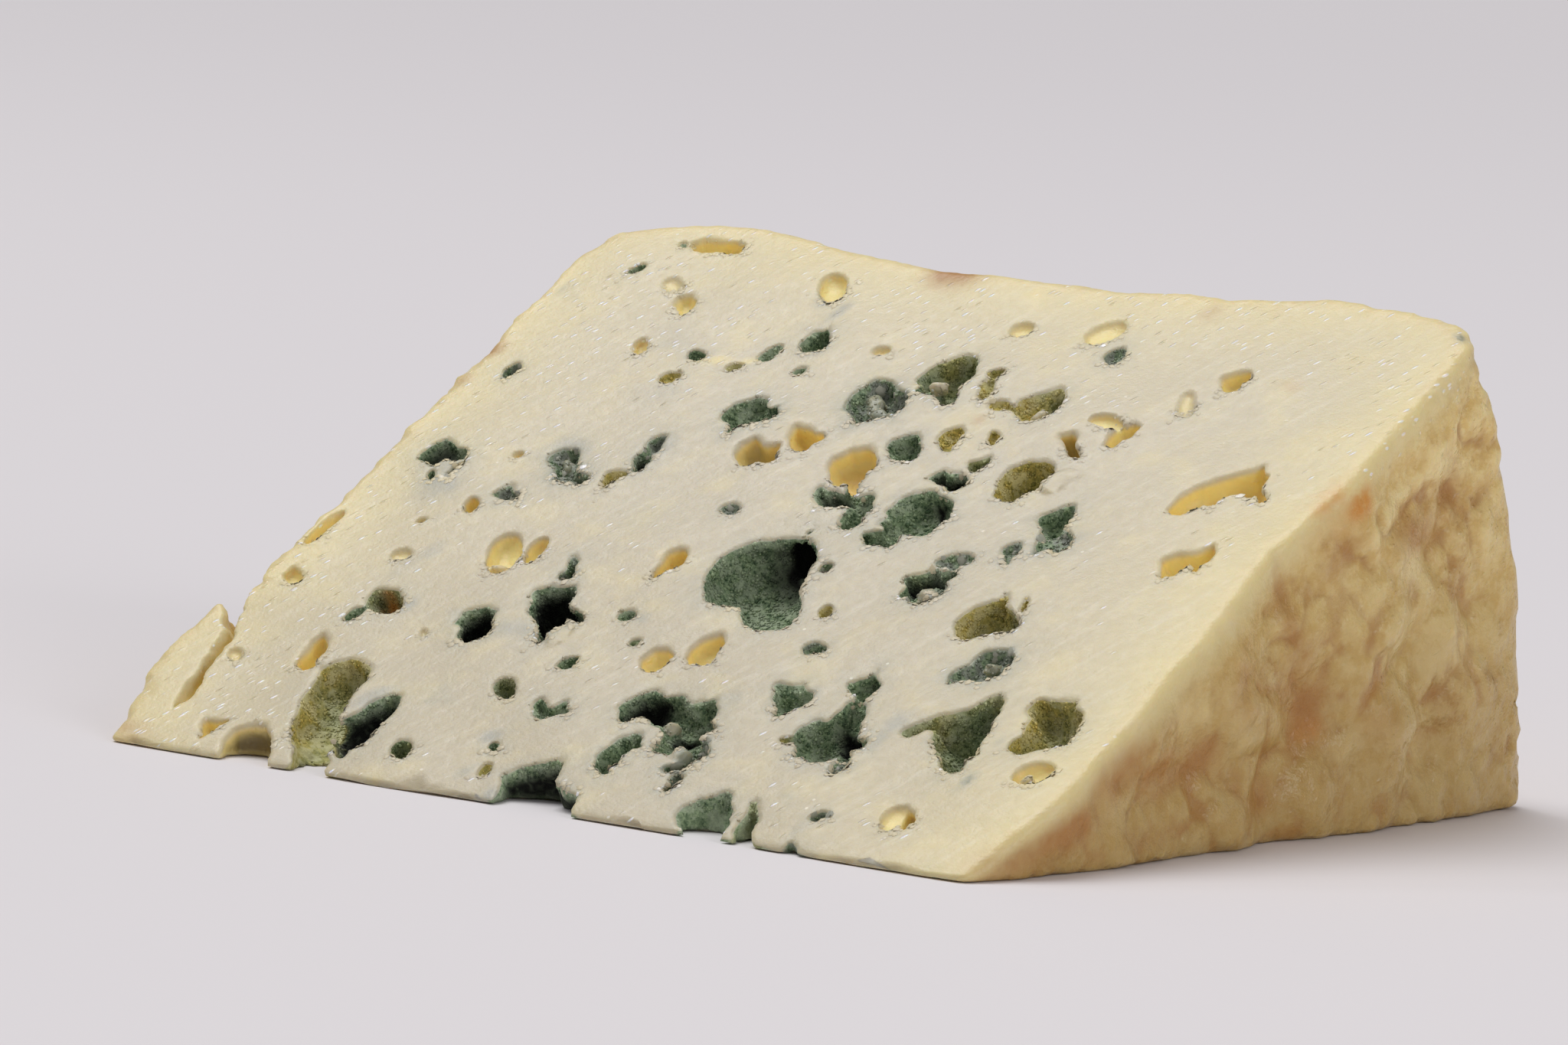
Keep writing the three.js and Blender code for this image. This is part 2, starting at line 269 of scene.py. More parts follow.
def mesh_object(name: str, points_mm: np.ndarray, faces: np.ndarray) -> bpy.types.Object:
    """Puts points and faces into a mesh object that sits at the origin.

    Args:
        name: the piece's name.
        points_mm: vertices in the frame's axes, in millimetres.
        faces: vertex numbers, one row of three or four for each face.

    Returns:
        The object, shaded smooth.
    """
    mesh = bpy.data.meshes.new(name)
    sides = faces.shape[1]
    mesh.vertices.add(len(points_mm))
    mesh.vertices.foreach_set("co", (points_mm * MM).astype(np.float32).ravel())
    mesh.loops.add(faces.size)
    mesh.loops.foreach_set("vertex_index", faces.astype(np.int32).ravel())
    mesh.polygons.add(len(faces))
    mesh.polygons.foreach_set("loop_start", np.arange(0, faces.size, sides, dtype=np.int32))
    mesh.polygons.foreach_set("use_smooth", np.ones(len(faces), bool))
    mesh.update(calc_edges=True)
    mesh.validate()
    piece = bpy.data.objects.new(name, mesh)
    bpy.context.scene.collection.objects.link(piece)
    return piece


# ---- what lines a hole or marks a surface ------------------------------------------------------


@dataclass(frozen=True)
class LiningTone:
    """How much of each thing lines a hole, and how much painted shade darkens it deeper down, each 0 to 1,
    and how ragged its wall is, in mm.
    """

    mould: float = 0.0
    olive: float = 0.0
    # painted shade: how far the lining is darkened deeper in the hole
    dark: float = 0.0
    bare: float = 0.0
    grey: float = 0.0
    rust: float = 0.0
    halo: float = 0.0
    ragged: float = 0.3


class Lining(Enum):
    """The linings that this cheese's holes have."""

    VELVET = LiningTone(mould=1.0, olive=0.0, dark=0.1, halo=0.5, ragged=0.2)
    TEAL = LiningTone(mould=0.95, olive=0.12, dark=0.06, halo=0.6, ragged=0.45)
    # mould lining painted near-black deeper down: painted shade in a deep hole
    BLACK = LiningTone(mould=1.0, olive=0.3, dark=1.0, halo=0.5, ragged=0.35)
    OLIVE = LiningTone(mould=0.9, olive=1.0, dark=0.0, halo=0.3, ragged=0.3)
    DEEP_OLIVE = LiningTone(mould=0.95, olive=0.68, dark=0.12, halo=0.4, ragged=0.3)
    GREY = LiningTone(mould=0.8, olive=0.2, dark=0.3, grey=0.75, halo=0.8, ragged=0.4)
    BARE = LiningTone(bare=1.0, ragged=0.13)
    # bare walls with painted shade deeper down, light here and strong in the next
    DEEP_BARE = LiningTone(bare=1.0, dark=0.3, ragged=0.2)
    BROWN_BARE = LiningTone(bare=1.0, dark=0.8, ragged=0.2)
    ORANGE = LiningTone(mould=0.4, olive=1.0, rust=1.0, ragged=0.15)


@dataclass(frozen=True)
class Hole:
    """A lumpy pocket in a cut face: its mouth's centre and half sizes, its turn from +x, its depth."""

    x: float
    s: float
    half_length: float
    half_width: float
    turn: float
    depth: float
    lining: Lining
    buried: float = 0.0

    SINK = 0.3
    WOBBLE = 1.35
    SLACK = 1.5

    def middle(self) -> tuple[float, float]:
        """The middle of the mouth."""
        return self.x, self.s

    def breadth(self) -> float:
        """The mouth's half width."""
        return self.half_width

    def reach(self) -> float:
        """How far from its middle the pocket can reach, with its ragged wall."""
        largest = max(self.half_length, self.half_width, self.depth + self.buried)
        return self.WOBBLE * largest + self.SLACK

    def distance(self, x: np.ndarray, s: np.ndarray, d: np.ndarray) -> np.ndarray:
        """Distance from the pocket's wall, negative inside it.

        Formula: an ellipsoid, sunk by SINK of the depth so that it is a little wider below its
        mouth, and by what it is buried under the cut.

        Args:
            x, s, d: the places.

        Returns:
            The distance at each place.
        """
        widen = 1.0 / math.sqrt(1.0 - (self.SINK / (1.0 - self.SINK)) ** 2)
        sizes = (self.half_length * widen, self.half_width * widen, self.depth * (1.0 - self.SINK))
        down = d + self.SINK * self.depth + self.buried
        return ellipsoid_distance((x - self.x, s - self.s, down), sizes, self.turn)


@dataclass(frozen=True)
class Torn:
    """A pocket whose mouth has a shape of its own: its outline, x and s by turns, and its depth."""

    outline: tuple
    depth: float
    lining: Lining

    UNDERCUT = 0.22
    WOBBLE = 0.3
    SLACK = 1.5
    ROUNDING = 1.1

    def corners(self) -> tuple:
        """The outline's corners, as pairs of x and s."""
        return tuple(zip(self.outline[::2], self.outline[1::2]))

    def middle(self) -> tuple[float, float]:
        """The middle of the outline's corners."""
        xs, ss = self.outline[::2], self.outline[1::2]
        return sum(xs) / len(xs), sum(ss) / len(ss)

    def breadth(self) -> float:
        """About the mouth's half width: a quarter of the sum of its two spans."""
        xs, ss = self.outline[::2], self.outline[1::2]
        return (max(xs) - min(xs) + max(ss) - min(ss)) / 4.0

    def reach(self) -> float:
        """How far from its middle the pocket can reach, with its ragged wall."""
        x, s = self.middle()
        farthest = max(math.hypot(px - x, ps - s) for px, ps in self.corners())
        return farthest + self.WOBBLE * self.depth + self.SLACK

    def distance(self, x: np.ndarray, s: np.ndarray, d: np.ndarray) -> np.ndarray:
        """Distance from the pocket's wall, negative inside it.

        Formula: the outline's own distance in the plan, less an undercut that grows with the depth,
        and the distance above a floor at the depth, with a wide rounding between wall and floor.

        Args:
            x, s, d: the places.

        Returns:
            The distance at each place.
        """
        sunk = np.minimum(np.maximum(-d, 0.0), 0.5 * self.depth)
        wall = outline_distance(x, s, self.corners()) - self.UNDERCUT * sunk
        return rounded_max(wall, -d - self.depth, self.ROUNDING * self.depth)


@dataclass(frozen=True)
class Lump:
    """A lump of paste that stands in or at the edge of a hole: centre and half sizes in the plan."""

    x: float
    s: float
    d: float
    half_length: float
    half_width: float
    half_height: float
    turn: float = 0.0

    def distance(self, x: np.ndarray, s: np.ndarray, d: np.ndarray) -> np.ndarray:
        """Distance from the lump's surface, negative inside it: an ellipsoid's."""
        sizes = (self.half_length, self.half_width, self.half_height)
        return ellipsoid_distance((x - self.x, s - self.s, d - self.d), sizes, self.turn)


class Mark(Enum):
    """What a flat mark on a surface is made of, each with the mask that it is laid in; SHADE is painted
    shade.
    """

    HAZE = "haze"
    SMEAR = "halo"
    AMBER = "amber"
    RUST = "rust"
    PINK = "pink"
    PALE = "pale"
    # painted shade laid on holes' walls
    SHADE = "dark"

    def at(self, *rows: tuple) -> tuple:
        """Spots of this mark, each from a row of a Spot's numbers in their order."""
        return tuple(Spot(*row, self) for row in rows)


@dataclass(frozen=True)
class Spot:
    """A flat mark: its place, half sizes, turn from the first axis and strength."""

    x: float
    s: float
    half_length: float
    half_width: float
    turn: float
    strength: float
    mark: Mark

    def cover(self, x: np.ndarray, s: np.ndarray) -> np.ndarray:
        """How much of the mark lies at each place.

        Formula: strength times e to the minus cube of the distance scaled by the half sizes.

        Args:
            x, s: the places' two coordinates.

        Returns:
            The cover at each place, 0 to strength.
        """
        turn = math.radians(self.turn)
        along = ((x - self.x) * math.cos(turn) + (s - self.s) * math.sin(turn)) / self.half_length
        across = ((s - self.s) * math.cos(turn) - (x - self.x) * math.sin(turn)) / self.half_width
        return self.strength * np.exp(-((along**2 + across**2) ** 1.5))


# ---- the wedge's form ---------------------------------------------------------------------------


@dataclass(frozen=True)
class WedgeForm:
    """The wedge before its holes: a sector of a drum, lying on a cut face, with lumpy rinds."""

    drum_radius: float = 95.2
    angle: float = math.radians(32.5)
    left_end: float = -59.2
    right_end: float = 56.4
    right_flare: float = 2.0
    middle_x: float = -1.7
    middle_y: float = 48.25
    round_rind: float = 6.0
    round_cut: float = 1.6
    round_foot: float = 1.2
    lump_height: float = 0.55
    lump_pitch: float = 11.0
    wave_height: float = 0.12
    wave_pitch: float = 17.0
    edge_calm: float = 0.75
    ledge_calm: float = 0.6
    flake_top: float = 24.5
    flake_lean: float = 3.0
    pillow_height: float = 0.3
    pillow_pitch: float = 6.0
    crumb_height: float = 0.13
    crumb_pitch: float = 2.4
    bubble_height: float = 0.34
    bubble_pitch: float = 3.4
    end_creases: tuple = (
        ((46, 30), (47, 27), (50, 22), (53, 17.5), (52.4, 13), (49.4, 9), (47.4, 5), (46.6, 2)),
        ((66, 35), (71, 34), (77, 34.6), (84, 33.6)),
        ((70.5, 2), (72, 7), (75, 10), (76, 14)),
        ((60, 24), (63, 19), (62, 14)),
        ((29, 14), (33, 9.6), (35.4, 5)),
        ((80, 25), (82.4, 20), (81, 15)),
    )
    end_crumb_height: float = 0.14
    left_crumb_height: float = 0.6
    ledge_crumb_height: float = 0.35
    top_crumb_height: float = 0.18
    crease_depth: float = 0.5
    crease_width: float = 1.2
    crease_wander: float = 1.6
    top_swell: float = 0.8
    swells: tuple = ((-40.0, 16.0, 4.0), (40.0, 12.0, 2.4))
    end_dents: tuple = (
        (50, 24, 5, 1.0), (54, 12, 5, 1.4), (48, 6, 4, 1.1), (73, 7, 4.5, 1.6), (72, 18, 4, 0.9),
        (82, 23, 3, 0.8), (30, 9, 5, 0.8), (74, 33, 7, 0.9), (62, 22, 6, -0.8), (64, 6, 5, -0.9),
        (40, 15, 6, -0.6), (80, 13, 5, -0.8), (60, 32, 5, -0.6), (20, 3, 5, 0.7), (2, 1, 8, 3.2),
    )  # fmt: skip

    def section(self, s: np.ndarray, d: np.ndarray) -> tuple[np.ndarray, np.ndarray]:
        """Turns the plan's s and d to y from the thin edge and z from the surface it lies on."""
        return (
            s * math.cos(self.angle) - d * math.sin(self.angle),
            s * math.sin(self.angle) + d * math.cos(self.angle),
        )

    def to_frame(self, plan: np.ndarray) -> np.ndarray:
        """Turns rows of (x, s, d) to rows of (x, y, z) in the frame, still in millimetres."""
        y, z = self.section(plan[:, 1], plan[:, 2])
        return np.stack([plan[:, 0] - self.middle_x, y - self.middle_y, z], axis=1)

    def left_rind_x(self, y: np.ndarray, z: np.ndarray) -> np.ndarray:
        """Where the -x rind stands: its end, less the flake that leans out low at the front."""
        from_axis = np.hypot(y, z)
        flake = 1.0 - smooth_step(self.flake_top - 1.0, self.flake_top + 5.0, from_axis)
        return self.left_end - self.flake_lean * flake * smooth_step(4.0, 14.0, from_axis)

    def right_rind_x(self, y: np.ndarray, z: np.ndarray) -> np.ndarray:
        """Where the +x rind stands: its end and flare, less a bell for each dent."""
        dents = sum(
            depth * bell(np.hypot(y - at_y, z - at_z), reach) for at_y, at_z, reach, depth in self.end_dents
        )
        return self.right_end + self.right_flare * smooth_step(45.0, 68.0, y) - dents

    def curved_rind_radius(self, x: np.ndarray, angle_part: np.ndarray) -> np.ndarray:
        """How far the curved rind is from the drum's axis: its radius, plus a bell for each swell."""
        swell = self.top_swell + sum(height * bell(x - at, reach) for at, reach, height in self.swells)
        return self.drum_radius + swell * smooth_step(0.0, 1.0, angle_part)

    def faces(self, x: np.ndarray, s: np.ndarray, d: np.ndarray) -> tuple[np.ndarray, ...]:
        """Distances from the wedge's faces, negative inside.

        Formula: a plane or a drum for each face, with lumps that are calmer by the cut's edge and
        by the ledge.

        Args:
            x, s, d: the places.

        Returns:
            The distances from the cut, the flat rinds, the curved rind and the foot.
        """
        y, z = self.section(s, d)
        calm = 1.0 - self.edge_calm * smooth_step(-9.0, -0.5, d)
        calm = calm * (1.0 - self.ledge_calm * smooth_step(38.0, 50.0, x) * smooth_step(76.0, 88.0, y))
        relief = self.lump_height * calm * lumps(x, y, z, self.lump_pitch)
        cut = d - self.wave_height * lumps(x, y, z, self.wave_pitch)
        angle_part = np.arctan2(z, np.maximum(y, 1e-6)) / self.angle
        curved = np.hypot(y, z) - self.curved_rind_radius(x, angle_part) - relief
        flat = np.maximum(x - self.right_rind_x(y, z), self.left_rind_x(y, z) - x) - relief
        return cut, flat, curved, -z + 0.0 * x

    def fine_relief(self, points: np.ndarray) -> np.ndarray:
        """The rind's pillows, creases and crumbs, and how the cut's edges break up, in mm.

        Formula: billow, less a bell along each crease on the +x end, plus rough grain that is
        coarser where the rind has crumbled, by the -x edge of the cut and on the ledge.

        Args:
            points: rows of (x, s, d).

        Returns:
            What to add to the distance from the rind; above 0 sinks the surface.
        """
        y, z = self.section(points[:, 1], points[:, 2])
        relief = self.crumb_height * rough(points, self.crumb_pitch, 3)
        calm = 1.0 - 0.85 * smooth_step(-7.0, -1.0, points[:, 2])
        calm *= 1.0 - 0.9 * smooth_step(44.0, 50.0, points[:, 0]) * smooth_step(82.0, 88.0, y)
        relief -= calm * self.pillow_height * (billow(points, self.pillow_pitch, 4) - 0.6)
        on_end = points[:, 0] > 45.0
        end = points[on_end]
        move_y, move_z = (self.crease_wander * rough(end, 5.0, seed) for seed in (61, 62))
        fading = 0.6 + 0.5 * grain(end, 4.0, 63)
        for crease in self.end_creases:
            away = path_distance(y[on_end] + move_y, z[on_end] + move_z, crease)
            relief[on_end] += self.crease_depth * fading * bell(away, self.crease_width)
        relief[on_end] -= calm[on_end] * self.bubble_height * (billow(end, self.bubble_pitch, 64) - 0.6)
        relief[on_end] += self.end_crumb_height * calm[on_end] * rough(end, 1.7, 65)
        by_cut = smooth_step(-9.0, -1.0, points[:, 2])
        left = by_cut * smooth_step(-48.0, -57.0, points[:, 0])
        relief += self.left_crumb_height * left * rough(points, 2.4, 5)
        ledge = smooth_step(46.0, 52.0, points[:, 0]) * smooth_step(11.5, 9.5, z)
        ledge = ledge * smooth_step(86.0, 91.0, y)
        relief += self.ledge_crumb_height * ledge * rough(points, 2.0, 6)
        top = by_cut * smooth_step(88.0, 93.0, points[:, 1])
        return relief + self.top_crumb_height * top * rough(points, 1.6, 8)

    def rind(self, flat: np.ndarray, curved: np.ndarray) -> np.ndarray:
        """Distance from the rind as a whole: the larger of its two, rounded where they meet."""
        return rounded_max(curved, flat, self.round_rind)

    def skin(self, rind: np.ndarray, cut: np.ndarray, foot: np.ndarray) -> np.ndarray:
        """Distance from the wedge's outer skin, from those of its rind, cut and foot."""
        return rounded_max(rounded_max(rind, cut, self.round_cut), foot, self.round_foot)


@dataclass(frozen=True)
class Veining:
    """The holes, cracks, paste lumps and flat marks of the sloping cut, and the underside's holes."""

    holes: tuple = (
        # the velvet-lined pocket, its dark corner and its lower lobe
        Torn((-6, 42.8, -5.3, 45, -4.2, 46.2, -1.5, 47.3, 0.2, 48.1, 1.8, 47.9, 3.3, 47.3, 4.6, 46.2,
              5.4, 44.8, 5.7, 41.6, 6.4, 40, 7.2, 38.2, 6, 36.6, 3.6, 35.6, 0.6, 35.4, -1.4, 35.3,
              -2.9, 35.6, -4.1, 37.2, -5.3, 38.9, -6, 41), 5.4, Lining.VELVET),
        Torn((2.6, 35.2, 4.8, 36.2, 7.4, 38.6, 8.4, 37.2, 8.8, 35.6, 8.8, 34.2, 8, 33.2, 6.4, 32.7,
              5.2, 32.8, 4.2, 33.4, 3.4, 34.4), 3.0, Lining.VELVET),
        Hole(1.9, 48.9, 2.5, 2.4, 0, 4.0, Lining.BLACK, 2.4),
        # deep mould left of the middle
        Torn((-23.6, 34.1, -22.6, 34.6, -21.2, 34.7, -20.2, 35.2, -19.3, 33.9, -19, 32.6, -17.9, 31.4,
              -17.1, 29.2, -17.4, 27.9, -17.9, 25, -19, 27.2, -20.2, 28.6, -22, 29.9,
              -22.9, 31.6), 7.5, Lining.BLACK),
        Hole(-17.1, 31.1, 1.7, 0.8, -24, 2.6, Lining.TEAL),
        Torn((-23.4, 39.6, -22.6, 39.3, -21.6, 38, -20.9, 36.9, -21.6, 36.3, -22.6, 36.4,
              -23.2, 37.4), 1.8, Lining.GREY),
        Torn((-29.4, 28.6, -28.2, 29.7, -27.3, 29.3, -26.3, 28.9, -25.4, 28, -24.8, 26.7, -25.2, 25.4,
              -26.4, 24.4, -27.6, 24.9, -28.7, 26, -29.6, 26.9), 8.0, Lining.BLACK),
        Torn((-43.1, 30.2, -40.6, 30.5, -39.2, 29.8, -38.5, 28.5, -39, 27.1, -41, 26.6, -42.3, 27.2,
              -42.9, 28.6), 4.0, Lining.DEEP_OLIVE),
        Hole(-39.8, 28.2, 1.2, 1.1, 0, 2.6, Lining.ORANGE),
        Hole(-43.0, 25.8, 1.0, 0.5, 70, 1.2, Lining.TEAL),
        Torn((-44.6, 22, -43.6, 21.2, -42.7, 20, -42.3, 18.4, -42, 16.8, -42.8, 16.3, -44.3, 16.8,
              -44.9, 17.7, -44.7, 19.4, -44.9, 20.6), 4.0, Lining.BARE),
        # the olive trench and the dark pocket beside it, open at the foot
        Torn((-40.5, 16.6, -39.8, 17.9, -38.5, 18.6, -37.2, 18.3, -35.6, 17.8, -34.6, 16.8, -34, 15.4,
              -34.2, 13.8, -33.9, 12, -33.4, 10.2, -32.6, 8.6, -31.6, 6.6, -30.2, 4.2, -29, 2.6,
              -28.5, -1, -33, -1, -34, 2, -34.6, 4.2, -36.2, 5.4, -37.3, 7.6, -38.3, 10, -39.3, 12.2,
              -39.9, 14.4), 4.0, Lining.OLIVE),
        Hole(-35.4, 15.8, 1.9, 1.1, -52, 3.6, Lining.BLACK),
        Torn((-31, 10.8, -30.8, 12.2, -29.4, 14, -28.4, 14.3, -27.5, 13, -27, 11.2, -27.4, 9.6, -27, 7.6,
              -27.3, 5.8, -28.4, 5, -28.4, 3.8, -29.8, 4.4, -31, 6, -32.4, 8.2,
              -32, 9.8), 3.5, Lining.BLACK),
        Torn((-43.8, 5.2, -42.4, 6.4, -40.8, 6.6, -39.2, 5.6, -38, 4, -37, 2.2, -36.4, -1, -42.4, -1,
              -43, 2, -43.9, 3.6), 3.4, Lining.BROWN_BARE),
        Torn((-48.9, 6, -47.2, 6.1, -45.6, 6.9, -46.4, 5, -47.2, 2.7, -47.9, 4.2,
              -48.8, 5.6), 2.2, Lining.BARE),
        Hole(-22.1, 6.2, 1.7, 1.3, -45, 3.0, Lining.DEEP_OLIVE),
        Hole(-16.8, 18.0, 1.9, 1.0, -50, 3.0, Lining.DEEP_OLIVE),
        # the dark opening at the foot
        Torn((-7.6, 5.2, -6.4, 6.4, -4.8, 7.4, -3.6, 8, -2.2, 8.1, -1.6, 6.8, -1.3, 5.5, 0, 4.8, 1.6, 4,
              2.8, 3.6, 3.2, 2.2, 3.6, 0.2, 3.6, -1.5, -7, -1.5, -5.8, 0.8, -6.6, 2.6,
              -7.3, 4), 7.0, Lining.BLACK),
        # the cluster right of it
        Torn((-1.4, 18, -0.7, 20, 0.6, 21, 1.6, 20.8, 2.9, 19.9, 2.9, 18.2, 2.4, 17, 1, 16.6, 0.2, 15.6,
              -0.8, 16), 4.5, Lining.BLACK),
        Torn((3, 20.2, 4.8, 20.6, 6.2, 20.1, 7, 20.6, 8.2, 21.6, 9.2, 20.9, 9.8, 19.2, 10.1, 18,
              11.4, 17.2, 11.8, 16.1, 10.6, 16.2, 10.3, 14.4, 9.2, 13.2, 9, 12.2, 7.2, 11.9, 6.2, 12.8,
              6.4, 14.4, 6.6, 15.6, 5.2, 16.2, 3.8, 16.6, 3, 17.6, 3.2, 18.8), 3.2, Lining.TEAL),
        Hole(7.2, 17.6, 1.9, 0.6, 66, 4.4, Lining.BLACK),
        Torn((2, 13.4, 3.2, 14.3, 4.2, 13.8, 5, 12.6, 4.2, 11.4, 3.8, 10.2, 3.6, 9, 4, 7.6, 2.9, 7.3,
              1.8, 8.4, 0.9, 9.8, 1.2, 11.2, 1.6, 12.4), 2.6, Lining.TEAL),
        Torn((10.2, 14.4, 11.4, 14.8, 12.4, 14, 13, 12.6, 12.6, 10.8, 11.6, 9.6, 10, 9.4, 9.2, 9.8,
              10.4, 11, 10.2, 12.4), 1.8, Lining.GREY),
        Torn((11.6, 9.6, 12.4, 8.8, 12.7, 7.4, 12, 6.2, 10.8, 6.4, 11.6, 7.6,
              11.2, 8.8), 1.5, Lining.GREY),
        Torn((14.2, 24.6, 15.4, 25, 16.8, 25.2, 18.2, 24.6, 18.8, 23.4, 18.4, 22, 17.4, 20.8, 17, 19.8,
              16.2, 21.2, 14.9, 22.2, 14.2, 23.4), 2.2, Lining.TEAL),
        Torn((16, 4.8, 16.8, 6, 18, 6.6, 18.8, 7.2, 20.2, 6.2, 21.2, 5.2, 22, 3.6, 22.4, 1.8, 21.6, 0.6,
              18.8, 1, 17.2, 1.8, 16.2, 3.2), 3.2, Lining.TEAL),
        Hole(21.0, 2.9, 1.2, 0.6, -60, 4.0, Lining.BLACK),
        Torn((22.9, 6.8, 24, 5.6, 25.2, 4.2, 26, 2.2, 27.2, 0.4, 27.4, -1.2, 24.6, -1.2, 24.2, 1.2,
              23.6, 3, 23.3, 5), 3.8, Lining.DEEP_OLIVE),
        Torn((31, 2.2, 32, 1.6, 33, 0.4, 33, -1.2, 31, -1.2), 1.5, Lining.GREY),
        Hole(31.4, 6.6, 0.7, 0.5, 30, 0.8, Lining.GREY),
        # the upright one and what hangs from it
        Torn((21.8, 26.8, 22.8, 28, 23.4, 29.4, 24.2, 28.4, 25, 27.4, 24.9, 25.6, 23.9, 24.4, 23.4, 25.2,
              22.4, 25.6), 2.0, Lining.TEAL),
        Torn((23.2, 24, 24.8, 23.8, 26.4, 22.6, 26.6, 21.2, 26, 20.2, 27.4, 18.9, 29.2, 18.8, 29.6, 17.4,
              28.2, 16.6, 27.6, 15.2, 26.6, 14.2, 24.6, 14.2, 22.8, 14.6, 22, 15.8, 21.4, 17.2,
              20.8, 18.4, 21.4, 20.2, 22.8, 20.6, 23.2, 22.2), 3.6, Lining.TEAL),
        Hole(25.9, 20.1, 2.7, 1.1, -40, 5.4, Lining.BLACK),
        Hole(20.4, 17.0, 1.0, 0.6, 20, 1.4, Lining.OLIVE),
        Torn((27.8, 16.6, 29, 16.2, 29.4, 14.6, 28.6, 12.6, 27.6, 13.4, 27.8, 14.8), 1.3, Lining.GREY),
        # the two olive ones near the end
        Torn((39.4, 28.2, 40.2, 27.4, 40.6, 25.4, 41.4, 22.8, 42.2, 20, 42.7, 18.7, 42.1, 17.8,
              42.5, 16.2, 41.2, 15.6, 39.6, 17, 37.8, 18.8, 36.4, 20.4, 36, 21.6, 35.2, 22.2, 34.2, 22,
              33.4, 20.5, 32.7, 20.9, 33.6, 22.4, 34.6, 23.5, 36, 24.2, 37.6, 25.4,
              38.6, 26.8), 5.6, Lining.DEEP_OLIVE),
        Torn((44.4, 28.6, 46, 28.9, 48, 28.8, 49.6, 27.8, 50.6, 26, 51, 24.2, 50.8, 22.8, 49.4, 22.2,
              48, 21, 46.6, 20.1, 45.4, 20.6, 44.9, 22.4, 45, 24.4, 45.2, 26,
              44, 27.2), 4.4, Lining.OLIVE),
        Torn((40.4, 9.8, 41.2, 9.6, 41.9, 8.6, 41.4, 7.1, 40.7, 7.3, 40.3, 8.4), 3.0, Lining.DEEP_BARE),
        Hole(39.4, 8.4, 1.8, 1.2, 90, 1.0, Lining.BARE),
        Hole(50.3, 17.5, 2.0, 1.6, 60, 1.2, Lining.BARE),
        # right of the velvet
        Torn((28, 39, 28.8, 40.8, 30.2, 42.2, 30.5, 43.2, 31, 41.6, 32.6, 40.8, 34, 40.2, 34.9, 39.4,
              34.6, 38.2, 33.2, 37.8, 31.6, 36.8, 30, 35.8, 28.8, 36.2, 28, 37.4), 4.6, Lining.OLIVE),
        Hole(32.9, 39.2, 1.8, 1.2, -8, 6.5, Lining.BLACK),
        Torn((33, 43.6, 33.6, 42.8, 34.2, 41, 33.4, 40.9, 33.1, 42), 1.2, Lining.OLIVE),
        Torn((33.4, 34.4, 35.2, 35, 37, 34.6, 37.2, 33, 37, 31.2, 35.8, 29.8, 34.2, 30, 33, 29.2,
              32.4, 30.4, 33.2, 32), 1.5, Lining.GREY),
        Torn((17.4, 44, 18.6, 44.6, 19.8, 46, 21, 45.4, 22.2, 46.6, 22.8, 45.2, 22.2, 44.2, 20.4, 44.4,
              19.6, 43.2, 19.4, 41.6, 18.8, 40.6, 18.2, 41.6, 18.2, 42.8), 2.8, Lining.BLACK),
        Hole(21.3, 42.4, 1.9, 1.7, 0, 1.4, Lining.GREY),
        Hole(21.2, 47.9, 2.0, 0.9, 16, 1.1, Lining.GREY),
        Torn((26.2, 55.8, 27.2, 57.2, 28.2, 58.4, 29, 59, 29.7, 58.2, 29.7, 56.6, 29.2, 55.4, 28, 54.4,
              27, 54.8), 2.6, Lining.TEAL),
        Torn((28, 54.4, 29.2, 54.8, 30.6, 54.9, 31.6, 54.2, 32.3, 52.6, 31.6, 51, 30.4, 51.8, 29.4, 50.6,
              28.4, 52), 1.4, Lining.GREY),
        Torn((25.6, 50.8, 26.6, 51.8, 27.8, 50.6, 27.4, 48.4, 26.6, 49.2), 0.9, Lining.GREY),
        # above the velvet
        Torn((9, 52.2, 8.8, 54.4, 9.2, 56.2, 10.4, 57.4, 11.8, 58, 13.4, 58, 14.8, 57.2, 15.4, 55.4,
              15.6, 53.6, 15.4, 52, 14, 50.9, 12.8, 50.6, 13, 49.2, 12.4, 48.2, 11, 48.8, 9.8, 48.6,
              8.6, 49.6, 7.4, 50, 8.8, 50.8, 10.2, 51), 3.2, Lining.TEAL),
        Hole(12.6, 57.0, 1.1, 0.6, -45, 3.4, Lining.BLACK),
        Torn((10, 60.2, 10.6, 61.6, 12, 61.2, 13.2, 61.5, 14.4, 60.8, 14.6, 59.8, 13.2, 58.8, 12.4, 59.6,
              11.2, 59.4), 4.6, Lining.BLACK),
        Torn((13, 63.6, 13.8, 64.4, 14.6, 65.4, 15.2, 64.8, 15, 63.4, 14.4, 62,
              13.4, 62.4), 3.0, Lining.DEEP_OLIVE),
        Torn((-1.8, 56.2, -1.2, 54.6, 0, 53.8, 1.4, 53.6, 2.6, 54.2, 3.4, 54.6, 3.2, 55.6, 2.2, 56.4,
              1.4, 55.8, 0.2, 56.4, -0.8, 56), 2.6, Lining.BLACK),
        Torn((1.2, 58.8, 2, 58.6, 3.2, 56, 2.2, 55.6, 1.4, 57.2), 2.2, Lining.TEAL),
        Torn((3.4, 53.8, 4, 55.6, 5.2, 55.8, 6.2, 54.2, 6.4, 52.2, 5.8, 50.8, 4.4, 50.6,
              3.6, 52), 2.4, Lining.TEAL),
        Torn((18.2, 61, 18.6, 63.2, 19.8, 64.8, 21.6, 65.2, 23, 64.8, 23.4, 63.6, 23, 62, 23.2, 61,
              22.2, 60, 21.8, 58.4, 20.4, 58.4, 19, 59.2), 4.8, Lining.OLIVE),
        Torn((-2, 76.6, -1.9, 78.4, -0.9, 80.1, 0.2, 81.2, 1.6, 81.3, 2.9, 80.6, 3.5, 79.3, 4, 78.6,
